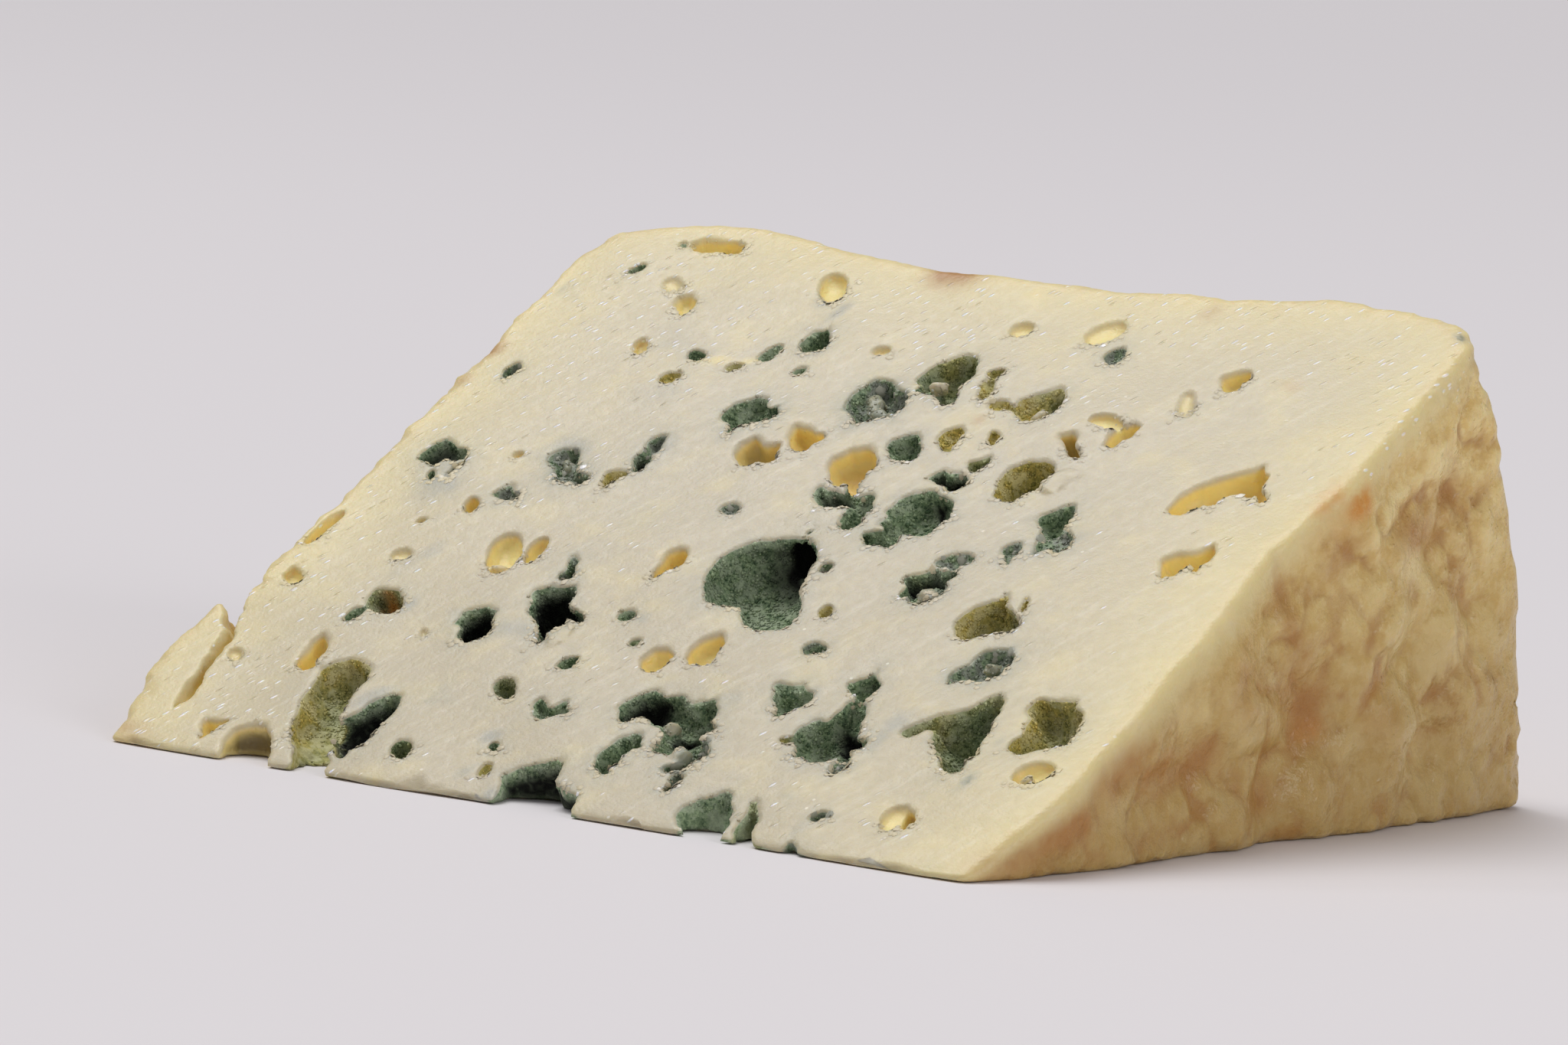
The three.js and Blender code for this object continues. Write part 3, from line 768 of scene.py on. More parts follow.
              4.2, 76.6, 4.1, 75, 4.6, 73.6, 5.2, 72.4, 3.6, 72.3, 2.2, 73, 1.6, 73.6, 1, 74.6,
              1.6, 75.8, 0.4, 76, -0.8, 75.5), 4.2, Lining.DEEP_OLIVE),
        Hole(0.3, 75.0, 1.1, 0.8, 20, 1.4, Lining.TEAL),
        Torn((6.2, 78.4, 7, 78.8, 7.4, 77, 8.2, 75.6, 8.3, 74, 7.6, 73.4, 6.8, 74.4, 6.9, 76,
              6.4, 77.2), 1.3, Lining.OLIVE),
        Hole(6.4, 79.2, 0.9, 0.6, 20, 1.0, Lining.OLIVE),
        Torn((12.4, 74.8, 13, 75.4, 14.2, 76.4, 15.4, 77.3, 16.6, 76.4, 17.2, 75, 17.4, 73.4, 17, 72.2,
              15.8, 71.6, 14.6, 71.4, 13.2, 72.2, 12.2, 73.2), 1.8, Lining.OLIVE),
        Hole(16.4, 75.2, 1.7, 0.8, 110, 3.2, Lining.DEEP_OLIVE),
        Hole(10.8, 73.6, 1.4, 0.7, 0, 0.9, Lining.OLIVE),
        Torn((-8, 73.8, -7, 74.8, -5.6, 75.2, -4, 74.8, -2.6, 73.9, -1.4, 72.9, -0.8, 71.4, -1.4, 69.6,
              -2.6, 69, -4, 68, -4.8, 67.4, -6, 68.2, -7.2, 69.8, -7.6, 71.6), 2.2, Lining.GREY),
        Torn((-21.2, 66.8, -20.8, 68.4, -19.6, 69.6, -18.2, 69.5, -17, 69, -15.8, 68.8, -15, 67.8,
              -14.8, 66.4, -15.8, 65.6, -16.8, 64.8, -18, 64.2, -19, 63.4,
              -20.2, 64.6), 2.2, Lining.TEAL),
        Hole(-18.5, 67.4, 0.9, 0.7, 30, 3.2, Lining.BLACK),
        Hole(-16.0, 67.6, 0.9, 0.6, -40, 3.0, Lining.BLACK),
        Torn((1.8, 65.4, 2.6, 66.4, 3.8, 67, 4.8, 66.4, 5.2, 65.2, 5.8, 63.6, 5.2, 62.8, 3.6, 62.8,
              2.4, 63.8), 2.0, Lining.TEAL),
        Torn((6.8, 68.2, 7.8, 69, 8.6, 68, 9.3, 66.6, 9.4, 65.2, 8.4, 65, 7.4, 66,
              6.8, 67), 1.3, Lining.OLIVE),
        Hole(12.8, 68.2, 1.2, 0.5, -50, 0.9, Lining.OLIVE),
        Torn((-20, 79.6, -20.2, 81, -19.6, 82.4, -18.6, 83.4, -17.6, 82.4, -17.1, 80.8, -17, 79.6,
              -18.2, 79.2, -19.2, 78.7), 2.6, Lining.TEAL),
        Hole(-17.2, 75.1, 0.6, 0.5, 0, 1.0, Lining.TEAL),
        Hole(-22.9, 78.0, 1.5, 0.8, 70, 1.2, Lining.TEAL),
        Hole(-31.8, 75.8, 1.1, 0.6, -30, 1.2, Lining.TEAL),
        Hole(-25.8, 74.8, 0.9, 0.7, 20, 1.0, Lining.OLIVE),
        Hole(-32.2, 71.6, 1.1, 0.9, 0, 0.8, Lining.OLIVE),
        # left of the middle
        Torn((-54, 53.4, -53.6, 55.2, -52.4, 56, -51.2, 55.2, -50, 54.6, -48.8, 54.9, -47.8, 53.8,
              -48.2, 52.6, -49.8, 52.9, -51, 51.9, -52.4, 51.8, -53.6, 52.2), 1.6, Lining.BLACK),
        Hole(-48.0, 51.6, 1.4, 0.5, 80, 1.2, Lining.GREY),
        Hole(-50.3, 50.0, 1.1, 0.5, -60, 1.2, Lining.BLACK),
        Torn((-37.8, 55.8, -37.2, 57, -35.8, 57.2, -34.8, 56.4, -33.8, 54.8, -32.6, 53.9, -31, 53.2,
              -31, 52, -33, 51.9, -34.4, 52, -35.6, 53.4, -37, 54.6), 1.6, Lining.GREY),
        Hole(-32.0, 52.9, 1.2, 0.6, -20, 2.2, Lining.BLACK),
        Torn((-27.2, 60.4, -26.2, 61.2, -25.4, 59.8, -25.6, 57.6, -25.2, 55.8, -26, 55.2, -26.8, 56.6,
              -27.2, 58), 1.4, Lining.GREY),
        Hole(-26.2, 57.2, 1.0, 0.7, -60, 2.2, Lining.BLACK),
        Torn((-28.8, 54.2, -27.8, 54.8, -26.4, 54.6, -27, 53.2, -27.6, 51.6,
              -28.2, 52.8), 1.3, Lining.OLIVE),
        Hole(-53.0, 69.2, 1.3, 0.8, 90, 1.2, Lining.GREY),
        Torn((-40.2, 48.4, -39.6, 50.2, -38.4, 49.6, -36.8, 48.6, -37, 47.5, -38.4, 47.4,
              -39.6, 47.9), 1.3, Lining.GREY),
        Hole(-12.4, 23.6, 1.5, 0.8, 50, 1.8, Lining.TEAL),
        Hole(-10.8, 31.9, 1.0, 0.8, -20, 1.4, Lining.TEAL),
        Torn((-11.4, 16.6, -10.6, 16.4, -9.8, 15.6, -8.6, 15.9, -8.2, 17.9, -7.5, 16.9, -6.5, 15.2,
              -8, 14.8, -9.2, 14.3, -10.4, 14.7), 1.6, Lining.TEAL),
        Hole(7.2, 43.8, 0.8, 0.8, 0, 1.0, Lining.GREY),
        Hole(11.9, 37.0, 1.1, 0.7, -60, 1.6, Lining.OLIVE),
        Hole(14.6, 30.8, 1.3, 0.9, 0, 1.0, Lining.GREY),
        Hole(-10.0, 51.0, 0.9, 0.7, 0, 0.9, Lining.GREY),
        Hole(-11.9, 9.2, 0.8, 0.6, -40, 1.0, Lining.TEAL),
        Hole(-10.6, 5.6, 1.0, 0.5, -70, 1.0, Lining.OLIVE),
        Hole(18.5, 84.2, 1.6, 0.9, -72, 1.0, Lining.GREY),
        Hole(-49.5, 89.3, 1.0, 0.5, 40, 0.9, Lining.BLACK),
        Hole(-46.5, 94.8, 0.6, 0.35, -40, 0.7, Lining.BLACK),
        Hole(-6.8, 28.1, 0.45, 0.4, 0, 1.0, Lining.DEEP_OLIVE),
        # bare holes
        Torn((-3.4, 61.6, -2.4, 63.2, -0.6, 63.8, 0.8, 63.2, 1.8, 62.2, 2.5, 60.7, 1.9, 59.4, 1.2, 58.2,
              0.2, 57, -0.8, 57.4, -1.8, 58.6, -2.8, 60), 3.6, Lining.BARE),
        Torn((-11.6, 66.4, -10, 66, -8.8, 65.3, -7.7, 65.5, -6.9, 64.6, -7.6, 63.4, -7.5, 62.2,
              -8.8, 61.9, -9.8, 62.6, -10.8, 64.2), 4.0, Lining.BARE),
        Torn((-15.8, 61.8, -15, 63, -13.2, 62.2, -11.4, 62.8, -10.6, 61.4, -9.8, 59.8, -10.4, 59.4,
              -11.8, 59.2, -12.6, 58.4, -13.6, 58.2, -14.4, 59.4, -15.4, 60.4), 4.4, Lining.DEEP_BARE),
        Torn((-12.6, 42.6, -11.8, 43.6, -10.8, 43.6, -9.9, 42.6, -9.4, 41.2, -9.8, 40.2, -10.8, 39.8,
              -11.4, 38.2, -12, 39.4, -12.1, 41), 4.0, Lining.BARE),
        Torn((0.2, 28, 0.8, 29.8, 2.2, 31.2, 3.6, 30, 3.6, 28.6, 4.1, 26.8, 3, 26.3, 1.4, 26.1,
              0.4, 26.9), 2.6, Lining.BARE),
        Torn((-4.2, 25.8, -3.6, 27.4, -2.4, 27.8, -1.4, 27.2, -1.2, 25.8, -1.4, 24.3, -2.8, 24,
              -3.8, 24.6), 2.4, Lining.BARE),
        Torn((40.1, 60.4, 40.4, 62.4, 41.2, 64, 42.6, 65.6, 44.4, 67.2, 45.8, 68, 46.5, 68.9, 47.3, 67.8,
              48.1, 67.6, 47.9, 66.6, 48.3, 65.4, 49.9, 63.7, 49.4, 63.2, 48, 64.8, 47.8, 63.6,
              46.6, 64.5, 45.4, 64.4, 44.7, 63.4, 44.5, 62.2, 43.4, 61.6, 42.4, 60.4, 41.8, 59.7,
              40.8, 59.6), 3.8, Lining.BARE),
        Torn((44.4, 52.2, 45.6, 53.2, 47, 54, 48.3, 55.6, 49.2, 54.4, 49.4, 52.9, 49, 52.2, 49.1, 50.7,
              48.4, 51.2, 47.8, 52.1, 47.5, 50.6, 47.1, 49.7, 46.4, 49.6, 45.9, 49.3,
              45.1, 50.6), 3.2, Lining.BARE),
        Torn((33.2, 82.6, 34.4, 83.6, 35.8, 83.8, 36.6, 82.6, 36.2, 80.8, 35, 80.3,
              34, 81), 1.7, Lining.BARE),
        Torn((26.6, 72.4, 27.8, 73.2, 28.8, 72.9, 28.6, 71.8, 28.9, 71, 28.2, 70, 28.1, 68.9, 27, 69.3,
              26.4, 70.6), 2.4, Lining.BARE),
        Torn((20.6, 69.4, 21.8, 70.1, 22.6, 69.6, 23.2, 68.4, 24.4, 67.8, 25, 66.6, 24, 66.7, 23, 67.6,
              22, 68.5), 3.6, Lining.DEEP_BARE),
        Hole(24.4, 73.0, 2.0, 0.9, -10, 0.7, Lining.BARE),
        Hole(-32.2, 38.8, 3.4, 1.8, -60, 2.2, Lining.BARE),
        Hole(-28.7, 40.1, 2.2, 1.1, -78, 1.9, Lining.BARE),
        Hole(-41.8, 46.0, 1.5, 0.8, -66, 1.9, Lining.BARE),
        Torn((-40.9, 85.8, -39.8, 86.3, -38.4, 85.4, -37.7, 83.6, -38.4, 82, -39.6, 83.4,
              -40.8, 84.6), 1.6, Lining.BARE),
        Hole(-43.2, 87.6, 1.5, 1.0, -20, 0.7, Lining.BARE),
        Torn((-45.6, 95.4, -44.6, 96.4, -42.4, 96.2, -40.4, 96.7, -38.4, 96.5, -38.4, 94.6, -40.4, 94.4,
              -42, 94.4, -43.4, 93.8, -44.8, 94.2), 2.2, Lining.BARE),
        Hole(-57.0, 39.0, 3.0, 0.8, 84, 1.4, Lining.BARE),
        Hole(-54.8, 30.4, 1.6, 0.8, -30, 0.9, Lining.BARE),
        Hole(-22.7, 90.2, 2.6, 1.4, -60, 1.1, Lining.BARE),
        Hole(-39.8, 76.0, 1.6, 0.8, -60, 1.2, Lining.DEEP_BARE),
        Hole(15.0, 87.8, 2.0, 1.6, 60, 0.9, Lining.BARE),
        Hole(4.4, 86.9, 1.2, 1.1, 0, 0.9, Lining.BARE),
        Hole(-9.7, 80.2, 1.0, 0.8, 0, 0.8, Lining.BARE),
        Hole(-46.2, 42.2, 0.5, 0.4, 0, 1.0, Lining.DEEP_BARE),
        Hole(-44.4, 36.5, 1.0, 0.9, 0, 0.6, Lining.BARE),
        Hole(-33.0, 24.6, 0.7, 0.4, -50, 0.7, Lining.BARE),
        Hole(-52.8, 16.8, 1.1, 0.7, -30, 0.8, Lining.BARE),
        Hole(-42.2, 55.4, 0.6, 0.5, 0, 0.8, Lining.BARE),
        Hole(31.8, 77.4, 2.0, 0.8, -60, 0.6, Lining.BARE),
    )  # fmt: skip

    lumps: tuple = (
        Lump(-16.1, 27.4, -0.4, 2.3, 1.5, 0.9, 84),
        Lump(-22.2, 28.2, -2.2, 2.0, 1.2, 1.4, -50),
        Lump(4.6, 17.4, -2.0, 1.1, 0.8, 1.2, 60),
        Lump(9.8, 12.2, -0.6, 0.9, 1.0, 0.9, 0),
        Lump(25.0, 62.4, -0.1, 2.4, 1.4, 0.6, 80),
        Lump(21.3, 42.2, -1.0, 1.3, 1.2, 1.1, 0),
        Lump(-41.5, 18.2, -0.3, 1.3, 0.5, 0.6, 100),
        Lump(-17.7, 16.7, -0.8, 1.0, 0.5, 0.8, -50),
        Lump(0.7, 75.7, -1.0, 1.1, 0.5, 0.9, 20),
        Lump(-32.2, 37.7, -1.6, 1.0, 0.8, 0.7, 0),
        Lump(50.0, 16.6, -0.9, 0.9, 0.7, 0.7, 0),
        Lump(-4.6, 71.4, -1.6, 3.2, 0.9, 1.0, -46),
        Lump(-2.2, 70.2, -1.4, 1.2, 0.8, 0.8, 20),
        Lump(-37.9, 75.6, -0.6, 0.9, 0.7, 0.5, 0),
        Lump(-48.6, 52.0, -0.6, 1.6, 0.3, 0.5, 84),
        Lump(-35.4, 55.2, -1.2, 1.4, 0.5, 0.7, -50),
        Lump(35.3, 33.0, -1.1, 1.2, 0.7, 0.6, 60),
        Lump(15.2, 73.6, -1.3, 0.9, 0.6, 0.8, 60),
        Lump(-56.4, 33.6, 0.1, 2.0, 1.4, 0.7, 40),
        Lump(-57.4, 30.6, 0.0, 1.4, 1.0, 0.6, 70),
    )

    spots: tuple = (
        *Mark.HAZE.at(
            (-48.4, 49.4, 5.0, 3.4, -50, 0.75), (-36.0, 57.6, 3.0, 1.8, -30, 0.5),
            (-25.4, 59.4, 1.9, 2.8, 0, 0.55), (-20.4, 48.0, 3.4, 2.6, -50, 0.34),
            (-36.8, 78.2, 3.0, 2.2, -40, 0.3), (-32.0, 68.4, 3.2, 2.4, 0, 0.24),
            (-42.2, 34.2, 2.0, 1.6, 60, 0.4), (-40.8, 37.6, 2.2, 1.1, 60, 0.6),
            (-30.8, 28.2, 1.0, 1.4, 0, 0.55), (-21.6, 27.3, 2.6, 1.7, 10, 0.95),
            (-37.8, 28.4, 1.1, 1.4, 0, 0.95), (-31.4, 13.2, 2.4, 1.3, 56, 1.0),
            (-13.2, 10.6, 1.4, 1.1, 40, 0.8), (-8.2, 31.6, 0.9, 1.1, 0, 0.45),
            (-6.9, 1.6, 1.2, 2.0, 20, 0.9), (11.0, 21.4, 1.8, 1.4, 0, 0.4),
            (30.8, 21.8, 1.9, 1.4, 60, 0.8), (30.6, 18.6, 0.9, 2.2, 0, 0.6),
            (30.6, 4.6, 0.9, 1.6, 0, 0.5), (-18.9, 86.0, 2.0, 0.8, 80, 0.9),
            (-17.4, 79.0, 1.6, 1.2, 60, 0.6), (-17.4, 49.2, 0.5, 1.4, -10, 0.5),
        ),
        *Mark.SMEAR.at(
            (-24.0, 15.8, 1.7, 1.3, 70, 0.8), (-12.4, 5.2, 1.6, 0.8, 60, 0.45),
            (44.2, 15.0, 0.9, 1.5, 0, 0.6), (43.8, 21.6, 0.6, 1.4, 10, 0.5),
            (26.0, 8.8, 1.0, 0.8, 0, 0.45), (-56.2, 84.4, 1.1, 1.1, 0, 0.5),
            (-22.4, 88.0, 2.4, 1.2, -60, 0.5), (56.2, 93.6, 1.0, 0.6, -50, 0.8),
        ),
        *Mark.AMBER.at(
            (-28.8, 75.2, 2.4, 0.8, 10, 0.8), (-24.6, 76.0, 1.6, 0.7, 30, 0.7),
            (3.2, 92.6, 1.4, 1.0, 0, 0.5), (-34.0, 92.6, 0.6, 0.6, 0, 0.7),
            (42.0, 44.2, 0.5, 0.4, 0, 0.7), (-14.4, 37.6, 2.4, 0.9, 10, 0.35),
            (-17.6, 9.4, 0.8, 0.4, -20, 0.6),
        ),
        *Mark.PINK.at(
            (-9.4, 94.6, 3.6, 2.6, -10, 0.9), (25.6, 92.8, 1.2, 1.6, 0, 0.4),
            (42.4, 82.4, 0.8, 1.6, 0, 0.2), (-58.0, 72.6, 1.6, 1.6, 80, 0.7),
            (-58.0, 66.8, 1.2, 1.2, 0, 0.4), (-56.0, 2.2, 2.8, 1.6, -40, 0.5),
            (9.6, 70.6, 0.8, 1.0, 0, 0.5), (56.6, 4.0, 4.6, 3.0, 10, 0.7),
        ),
        *Mark.RUST.at(
            (57.2, 64.6, 1.4, 3.4, 6, 0.5),
        ),
    )

    wall_shade_and_rust_marks: tuple = (
        # painted shade: the velvet pocket's dark corner and rims
        *Mark.SHADE.at(
            (1.8, 47.6, 6.4, 4.6, -40, 0.95), (-3.0, 48.2, 4.6, 1.6, 20, 0.6),
            (5.6, 33.4, 3.6, 0.9, -4, 0.7),
        ),
        # a real orange mark on a hole's wall
        *Mark.RUST.at(
            (-41.6, 29.7, 1.5, 1.0, -45, 1.4),
        ),
    )

    end_spots: tuple = (
        *Mark.RUST.at(
            (58.6, 34.2, 2.4, 1.5, 40, 1.0), (56, 33.6, 5.0, 2.6, 30, 0.36),
            (55.0, 11.0, 1.8, 1.4, 0, 0.3),
        ),
        *Mark.PINK.at(
            (71, 31, 6.0, 3.2, 10, 0.75), (77, 33.7, 4.0, 2.4, 0, 0.6), (56.5, 29.0, 3.4, 2.2, 50, 0.5),
            (49.4, 23.0, 1.4, 5.0, 20, 0.8), (54.6, 12.6, 2.6, 3.4, 20, 1.0),
            (52, 16.5, 2.6, 4.0, -20, 0.6), (29, 9, 4.0, 2.4, 20, 0.9), (35.7, 9.9, 3.0, 2.2, 0, 0.8),
            (22, 9.5, 5.0, 2.6, 20, 0.8), (13.7, 4.2, 5.0, 2.2, 20, 1.0), (6.0, 1.6, 5.0, 1.8, 15, 0.8),
            (47, 5, 3.0, 2.2, 0, 0.8), (41, 17, 3.2, 4.0, 30, 0.45), (64, 12, 4.0, 3.0, 0, 0.3),
        ),
        *Mark.PALE.at(
            (69, 27, 3.0, 2.0, 0, 0.6), (60, 24, 4.0, 2.6, 20, 0.4), (80, 18, 4.0, 5.0, 0, 0.3),
            (84, 30, 3.0, 5.0, 0, 0.3), (33, 15, 4.0, 2.4, 30, 0.35), (72, 8, 3.6, 3.0, 0, 0.4),
        ),
    )

    underside_holes: tuple = (
        Hole(-38, 30, 4.5, 3.0, 40, 4.0, Lining.TEAL),
        Hole(-12, 22, 3.2, 2.4, 10, 3.5, Lining.BLACK),
        Hole(9, 38, 5.2, 3.4, -35, 5.0, Lining.VELVET),
        Hole(30, 27, 4.0, 2.6, 70, 4.0, Lining.OLIVE),
        Hole(-24, 52, 3.4, 2.6, 0, 3.0, Lining.TEAL),
        Hole(22, 58, 3.6, 2.2, 50, 3.5, Lining.TEAL),
        Hole(-45, 66, 2.8, 2.0, -20, 2.5, Lining.BARE),
        Hole(2, 68, 3.0, 2.2, 30, 3.0, Lining.OLIVE),
        Hole(42, 46, 2.6, 2.2, 0, 2.5, Lining.BARE),
    )

    crack_mouth: tuple = (
        (-66, 25.6), (-60.8, 24.8), (-59, 22.6), (-57.2, 20.4), (-56.5, 18.8),
        (-55.7, 20.3), (-56.7, 22.6), (-57.6, 24.6), (-59.2, 28.2), (-66, 30),
    )  # fmt: skip
    crack_mouth_depth: float = 9.0
    crack_cleft: tuple = (
        (-57.3, 20.6), (-55.9, 14.6), (-54.9, 10.6), (-54.1, 6.6), (-53.1, 9.4), (-54.2, 14), (-55.6, 20.4),
    )  # fmt: skip
    crack_cleft_depth: float = 2.6
    crack_middle: tuple = (-58.0, 15.0, -4.0)
    crack_reach: float = 16.0
    crack_narrowing: float = 0.1
    crack_ragged: float = 0.35
    crack_pitch: float = 2.2
    ledge_place: tuple = (57.2, 93.4, 11.4)
    ledge_sizes: tuple = (6.0, 1.5, 0.55)
    ledge_turn: float = 127.0
    ledge_reach: float = 12.0
    ledge_ragged: float = 0.45
    ledge_pitch: float = 1.8
    lump_ragged: float = 0.42
    lump_pitch: float = 1.2
    lump_rise: float = 0.25
    crisp_rim: float = 0.25
    pressed_rim: float = 1.0
    drag_x: float = -0.7
    drag_s: float = 0.7
    streak_turn: float = math.radians(62.0)
    wander_pitch: float = 3.0
    wander: float = 0.28
    ragged_pitch: float = 1.9
    patterns: int = 3


# ---- the cheese's mesh --------------------------------------------------------------------------


@dataclass
class SampledBlock:
    """A block of the plan cut into cells, finest at the cut face, with a distance at each corner."""

    x_from: float = -64.5
    x_to: float = 62.0
    s_from: float = -3.0
    s_to: float = 103.0
    d_top: float = 1.6
    d_fine: float = -8.6
    d_bottom: float = -54.0
    pitch: float = 0.34
    growth: float = 1.14
    coarsest: float = 0.7
    slope_step: float = 0.6
    distance: np.ndarray = field(default=None, repr=False)

    def __post_init__(self) -> None:
        """Lays out the cells' corners along the three axes."""
        self.xs = np.arange(self.x_from, self.x_to, self.pitch, dtype=np.float32)
        self.ss = np.arange(self.s_from, self.s_to, self.pitch, dtype=np.float32)
        depths, step = [self.d_top], self.pitch
        while depths[-1] > self.d_bottom:
            step = step if depths[-1] > self.d_fine else min(step * self.growth, self.coarsest)
            depths.append(depths[-1] - step)
        self.ds = np.array(depths[::-1], np.float32)

    def axes(self) -> tuple[np.ndarray, np.ndarray, np.ndarray]:
        """The corners' x, s and d, shaped so that they spread over the block."""
        return self.xs[:, None, None], self.ss[None, :, None], self.ds[None, None, :]

    def window(self, centre: tuple, reach: float) -> tuple[slice, slice, slice]:
        """The part of the block within reach of a place.

        Args:
            centre: the place's x, s and d.
            reach: how far the part spreads from it, both ways along each axis.

        Returns:
            A slice along each axis.
        """
        spans = []
        for values, middle in zip((self.xs, self.ss, self.ds), centre):
            low = int(np.searchsorted(values, middle - reach))
            spans.append(slice(low, max(int(np.searchsorted(values, middle + reach)), low)))
        return tuple(spans)

    def points(self, window: tuple[slice, slice, slice]) -> np.ndarray:
        """The corners in a window, as rows of (x, s, d)."""
        parts = np.meshgrid(self.xs[window[0]], self.ss[window[1]], self.ds[window[2]], indexing="ij")
        return np.stack([part.ravel() for part in parts], axis=1)

    def surface(self) -> tuple[np.ndarray, np.ndarray]:
        """The surface where the distance is zero.

        Formula: each cell whose corners differ in sign gets one point, the mean of the places
        where its edges cross zero, and each edge that crosses joins its four cells in a quad.

        Returns:
            Points as rows of (x, s, d), and quads as rows of four point numbers, facing out.
        """
        value = self.distance
        inside = value < 0
        count = np.zeros(tuple(n - 1 for n in value.shape), np.int8)
        for i, j, k in np.ndindex(2, 2, 2):
            count += inside[i : i + count.shape[0], j : j + count.shape[1], k : k + count.shape[2]]
        cells = np.argwhere((count > 0) & (count < 8))
        number = np.full(count.shape, -1, np.int32)
        number[tuple(cells.T)] = np.arange(len(cells))
        total, crossings = np.zeros((len(cells), 3)), np.zeros(len(cells))
        axes = (self.xs, self.ss, self.ds)
        for axis in range(3):
            for offset in np.ndindex(2, 2, 2):
                if offset[axis]:
                    continue
                low = cells + np.array(offset)
                high = low.copy()
                high[:, axis] += 1
                a, b = value[tuple(low.T)], value[tuple(high.T)]
                crossed = (a < 0) != (b < 0)
                t = np.where(crossed, a / np.where(crossed, a - b, 1.0), 0.0)
                for n in range(3):
                    start, end = axes[n][low[:, n]], axes[n][high[:, n]]
                    total[:, n] += np.where(crossed, start + t * (end - start), 0.0)
                crossings += crossed
        quads = [self._quads_across(axis, inside, number) for axis in range(3)]
        return total / crossings[:, None], np.concatenate(quads)

    def sample(self, points: np.ndarray) -> np.ndarray:
        """The distance at any places, blended in a straight line along each axis of their cells.

        Args:
            points: rows of (x, s, d).

        Returns:
            The distance at each.
        """
        low, part = [], []
        for axis, values in enumerate((self.xs, self.ss, self.ds)):
            place = np.clip(points[:, axis], values[0], values[-1])
            index = np.clip(np.searchsorted(values, place) - 1, 0, len(values) - 2)
            low.append(index)
            part.append((place - values[index]) / (values[index + 1] - values[index]))
        total = np.zeros(len(points))
        for offset in np.ndindex(2, 2, 2):
            weight = np.prod([t if o else 1.0 - t for o, t in zip(offset, part)], axis=0)
            total += weight * self.distance[tuple(index + o for index, o in zip(low, offset))]
        return total

    def normals(self, points: np.ndarray) -> np.ndarray:
        """Which way the surface faces: how the distance grows along x, s and d, made length 1.

        Args:
            points: rows of (x, s, d) on the surface.

        Returns:
            A row of three for each.
        """
        slopes = []
        for step in np.eye(3) * self.slope_step * self.pitch:
            slopes.append(self.sample(points + step) - self.sample(points - step))
        slopes = np.stack(slopes, axis=1)
        return slopes / np.maximum(np.linalg.norm(slopes, axis=1, keepdims=True), TINY)

    @staticmethod
    def _quads_across(axis: int, inside: np.ndarray, number: np.ndarray) -> np.ndarray:
        """The quads round every edge along an axis whose two ends differ in sign.

        Args:
            axis: 0, 1 or 2.
            inside: whether each corner is inside.
            number: each cell's point number.

        Returns:
            Rows of four point numbers, facing out.
        """
        first, second = (axis + 1) % 3, (axis + 2) % 3
        shape = list(inside.shape)
        shape[axis] -= 1
        near = inside[tuple(slice(0, n) for n in shape)]
        far = np.moveaxis(np.moveaxis(inside, axis, 0)[1:], 0, axis)
        edges = np.argwhere(near != far)
        keep = (edges[:, first] > 0) & (edges[:, second] > 0)
        for n in (first, second):
            keep &= edges[:, n] < number.shape[n]
        edges = edges[keep]
        ring = []
        for back_first, back_second in ((1, 1), (0, 1), (0, 0), (1, 0)):
            cell = edges.copy()
            cell[:, first] -= back_first
            cell[:, second] -= back_second
            ring.append(number[tuple(cell.T)])
        quads = np.stack(ring, axis=1)
        outward = near[tuple(edges.T)]
        return np.where(outward[:, None], quads, quads[:, ::-1])


def largest_piece(points: np.ndarray, quads: np.ndarray) -> tuple[np.ndarray, np.ndarray]:
    """Drops scraps that touch nothing, and keeps the piece with the most points.

    Formula: every point takes the smallest number among itself and those it shares a quad with,
    again and again, jumping to that number's own, until nothing changes.

    Args:
        points: rows of (x, s, d).
        quads: rows of four point numbers.

    Returns:
        The points and quads that are kept.
    """
    label = np.arange(len(points))
    while True:
        least = label[quads].min(axis=1)
        new = label.copy()
        for corner in range(quads.shape[1]):
            np.minimum.at(new, quads[:, corner], least)
        new = new[new]
        if np.array_equal(new, label):
            break
        label = new
    kept = label == np.bincount(label).argmax()
    renumber = np.cumsum(kept) - 1
    return points[kept], renumber[quads[kept[quads[:, 0]]]]


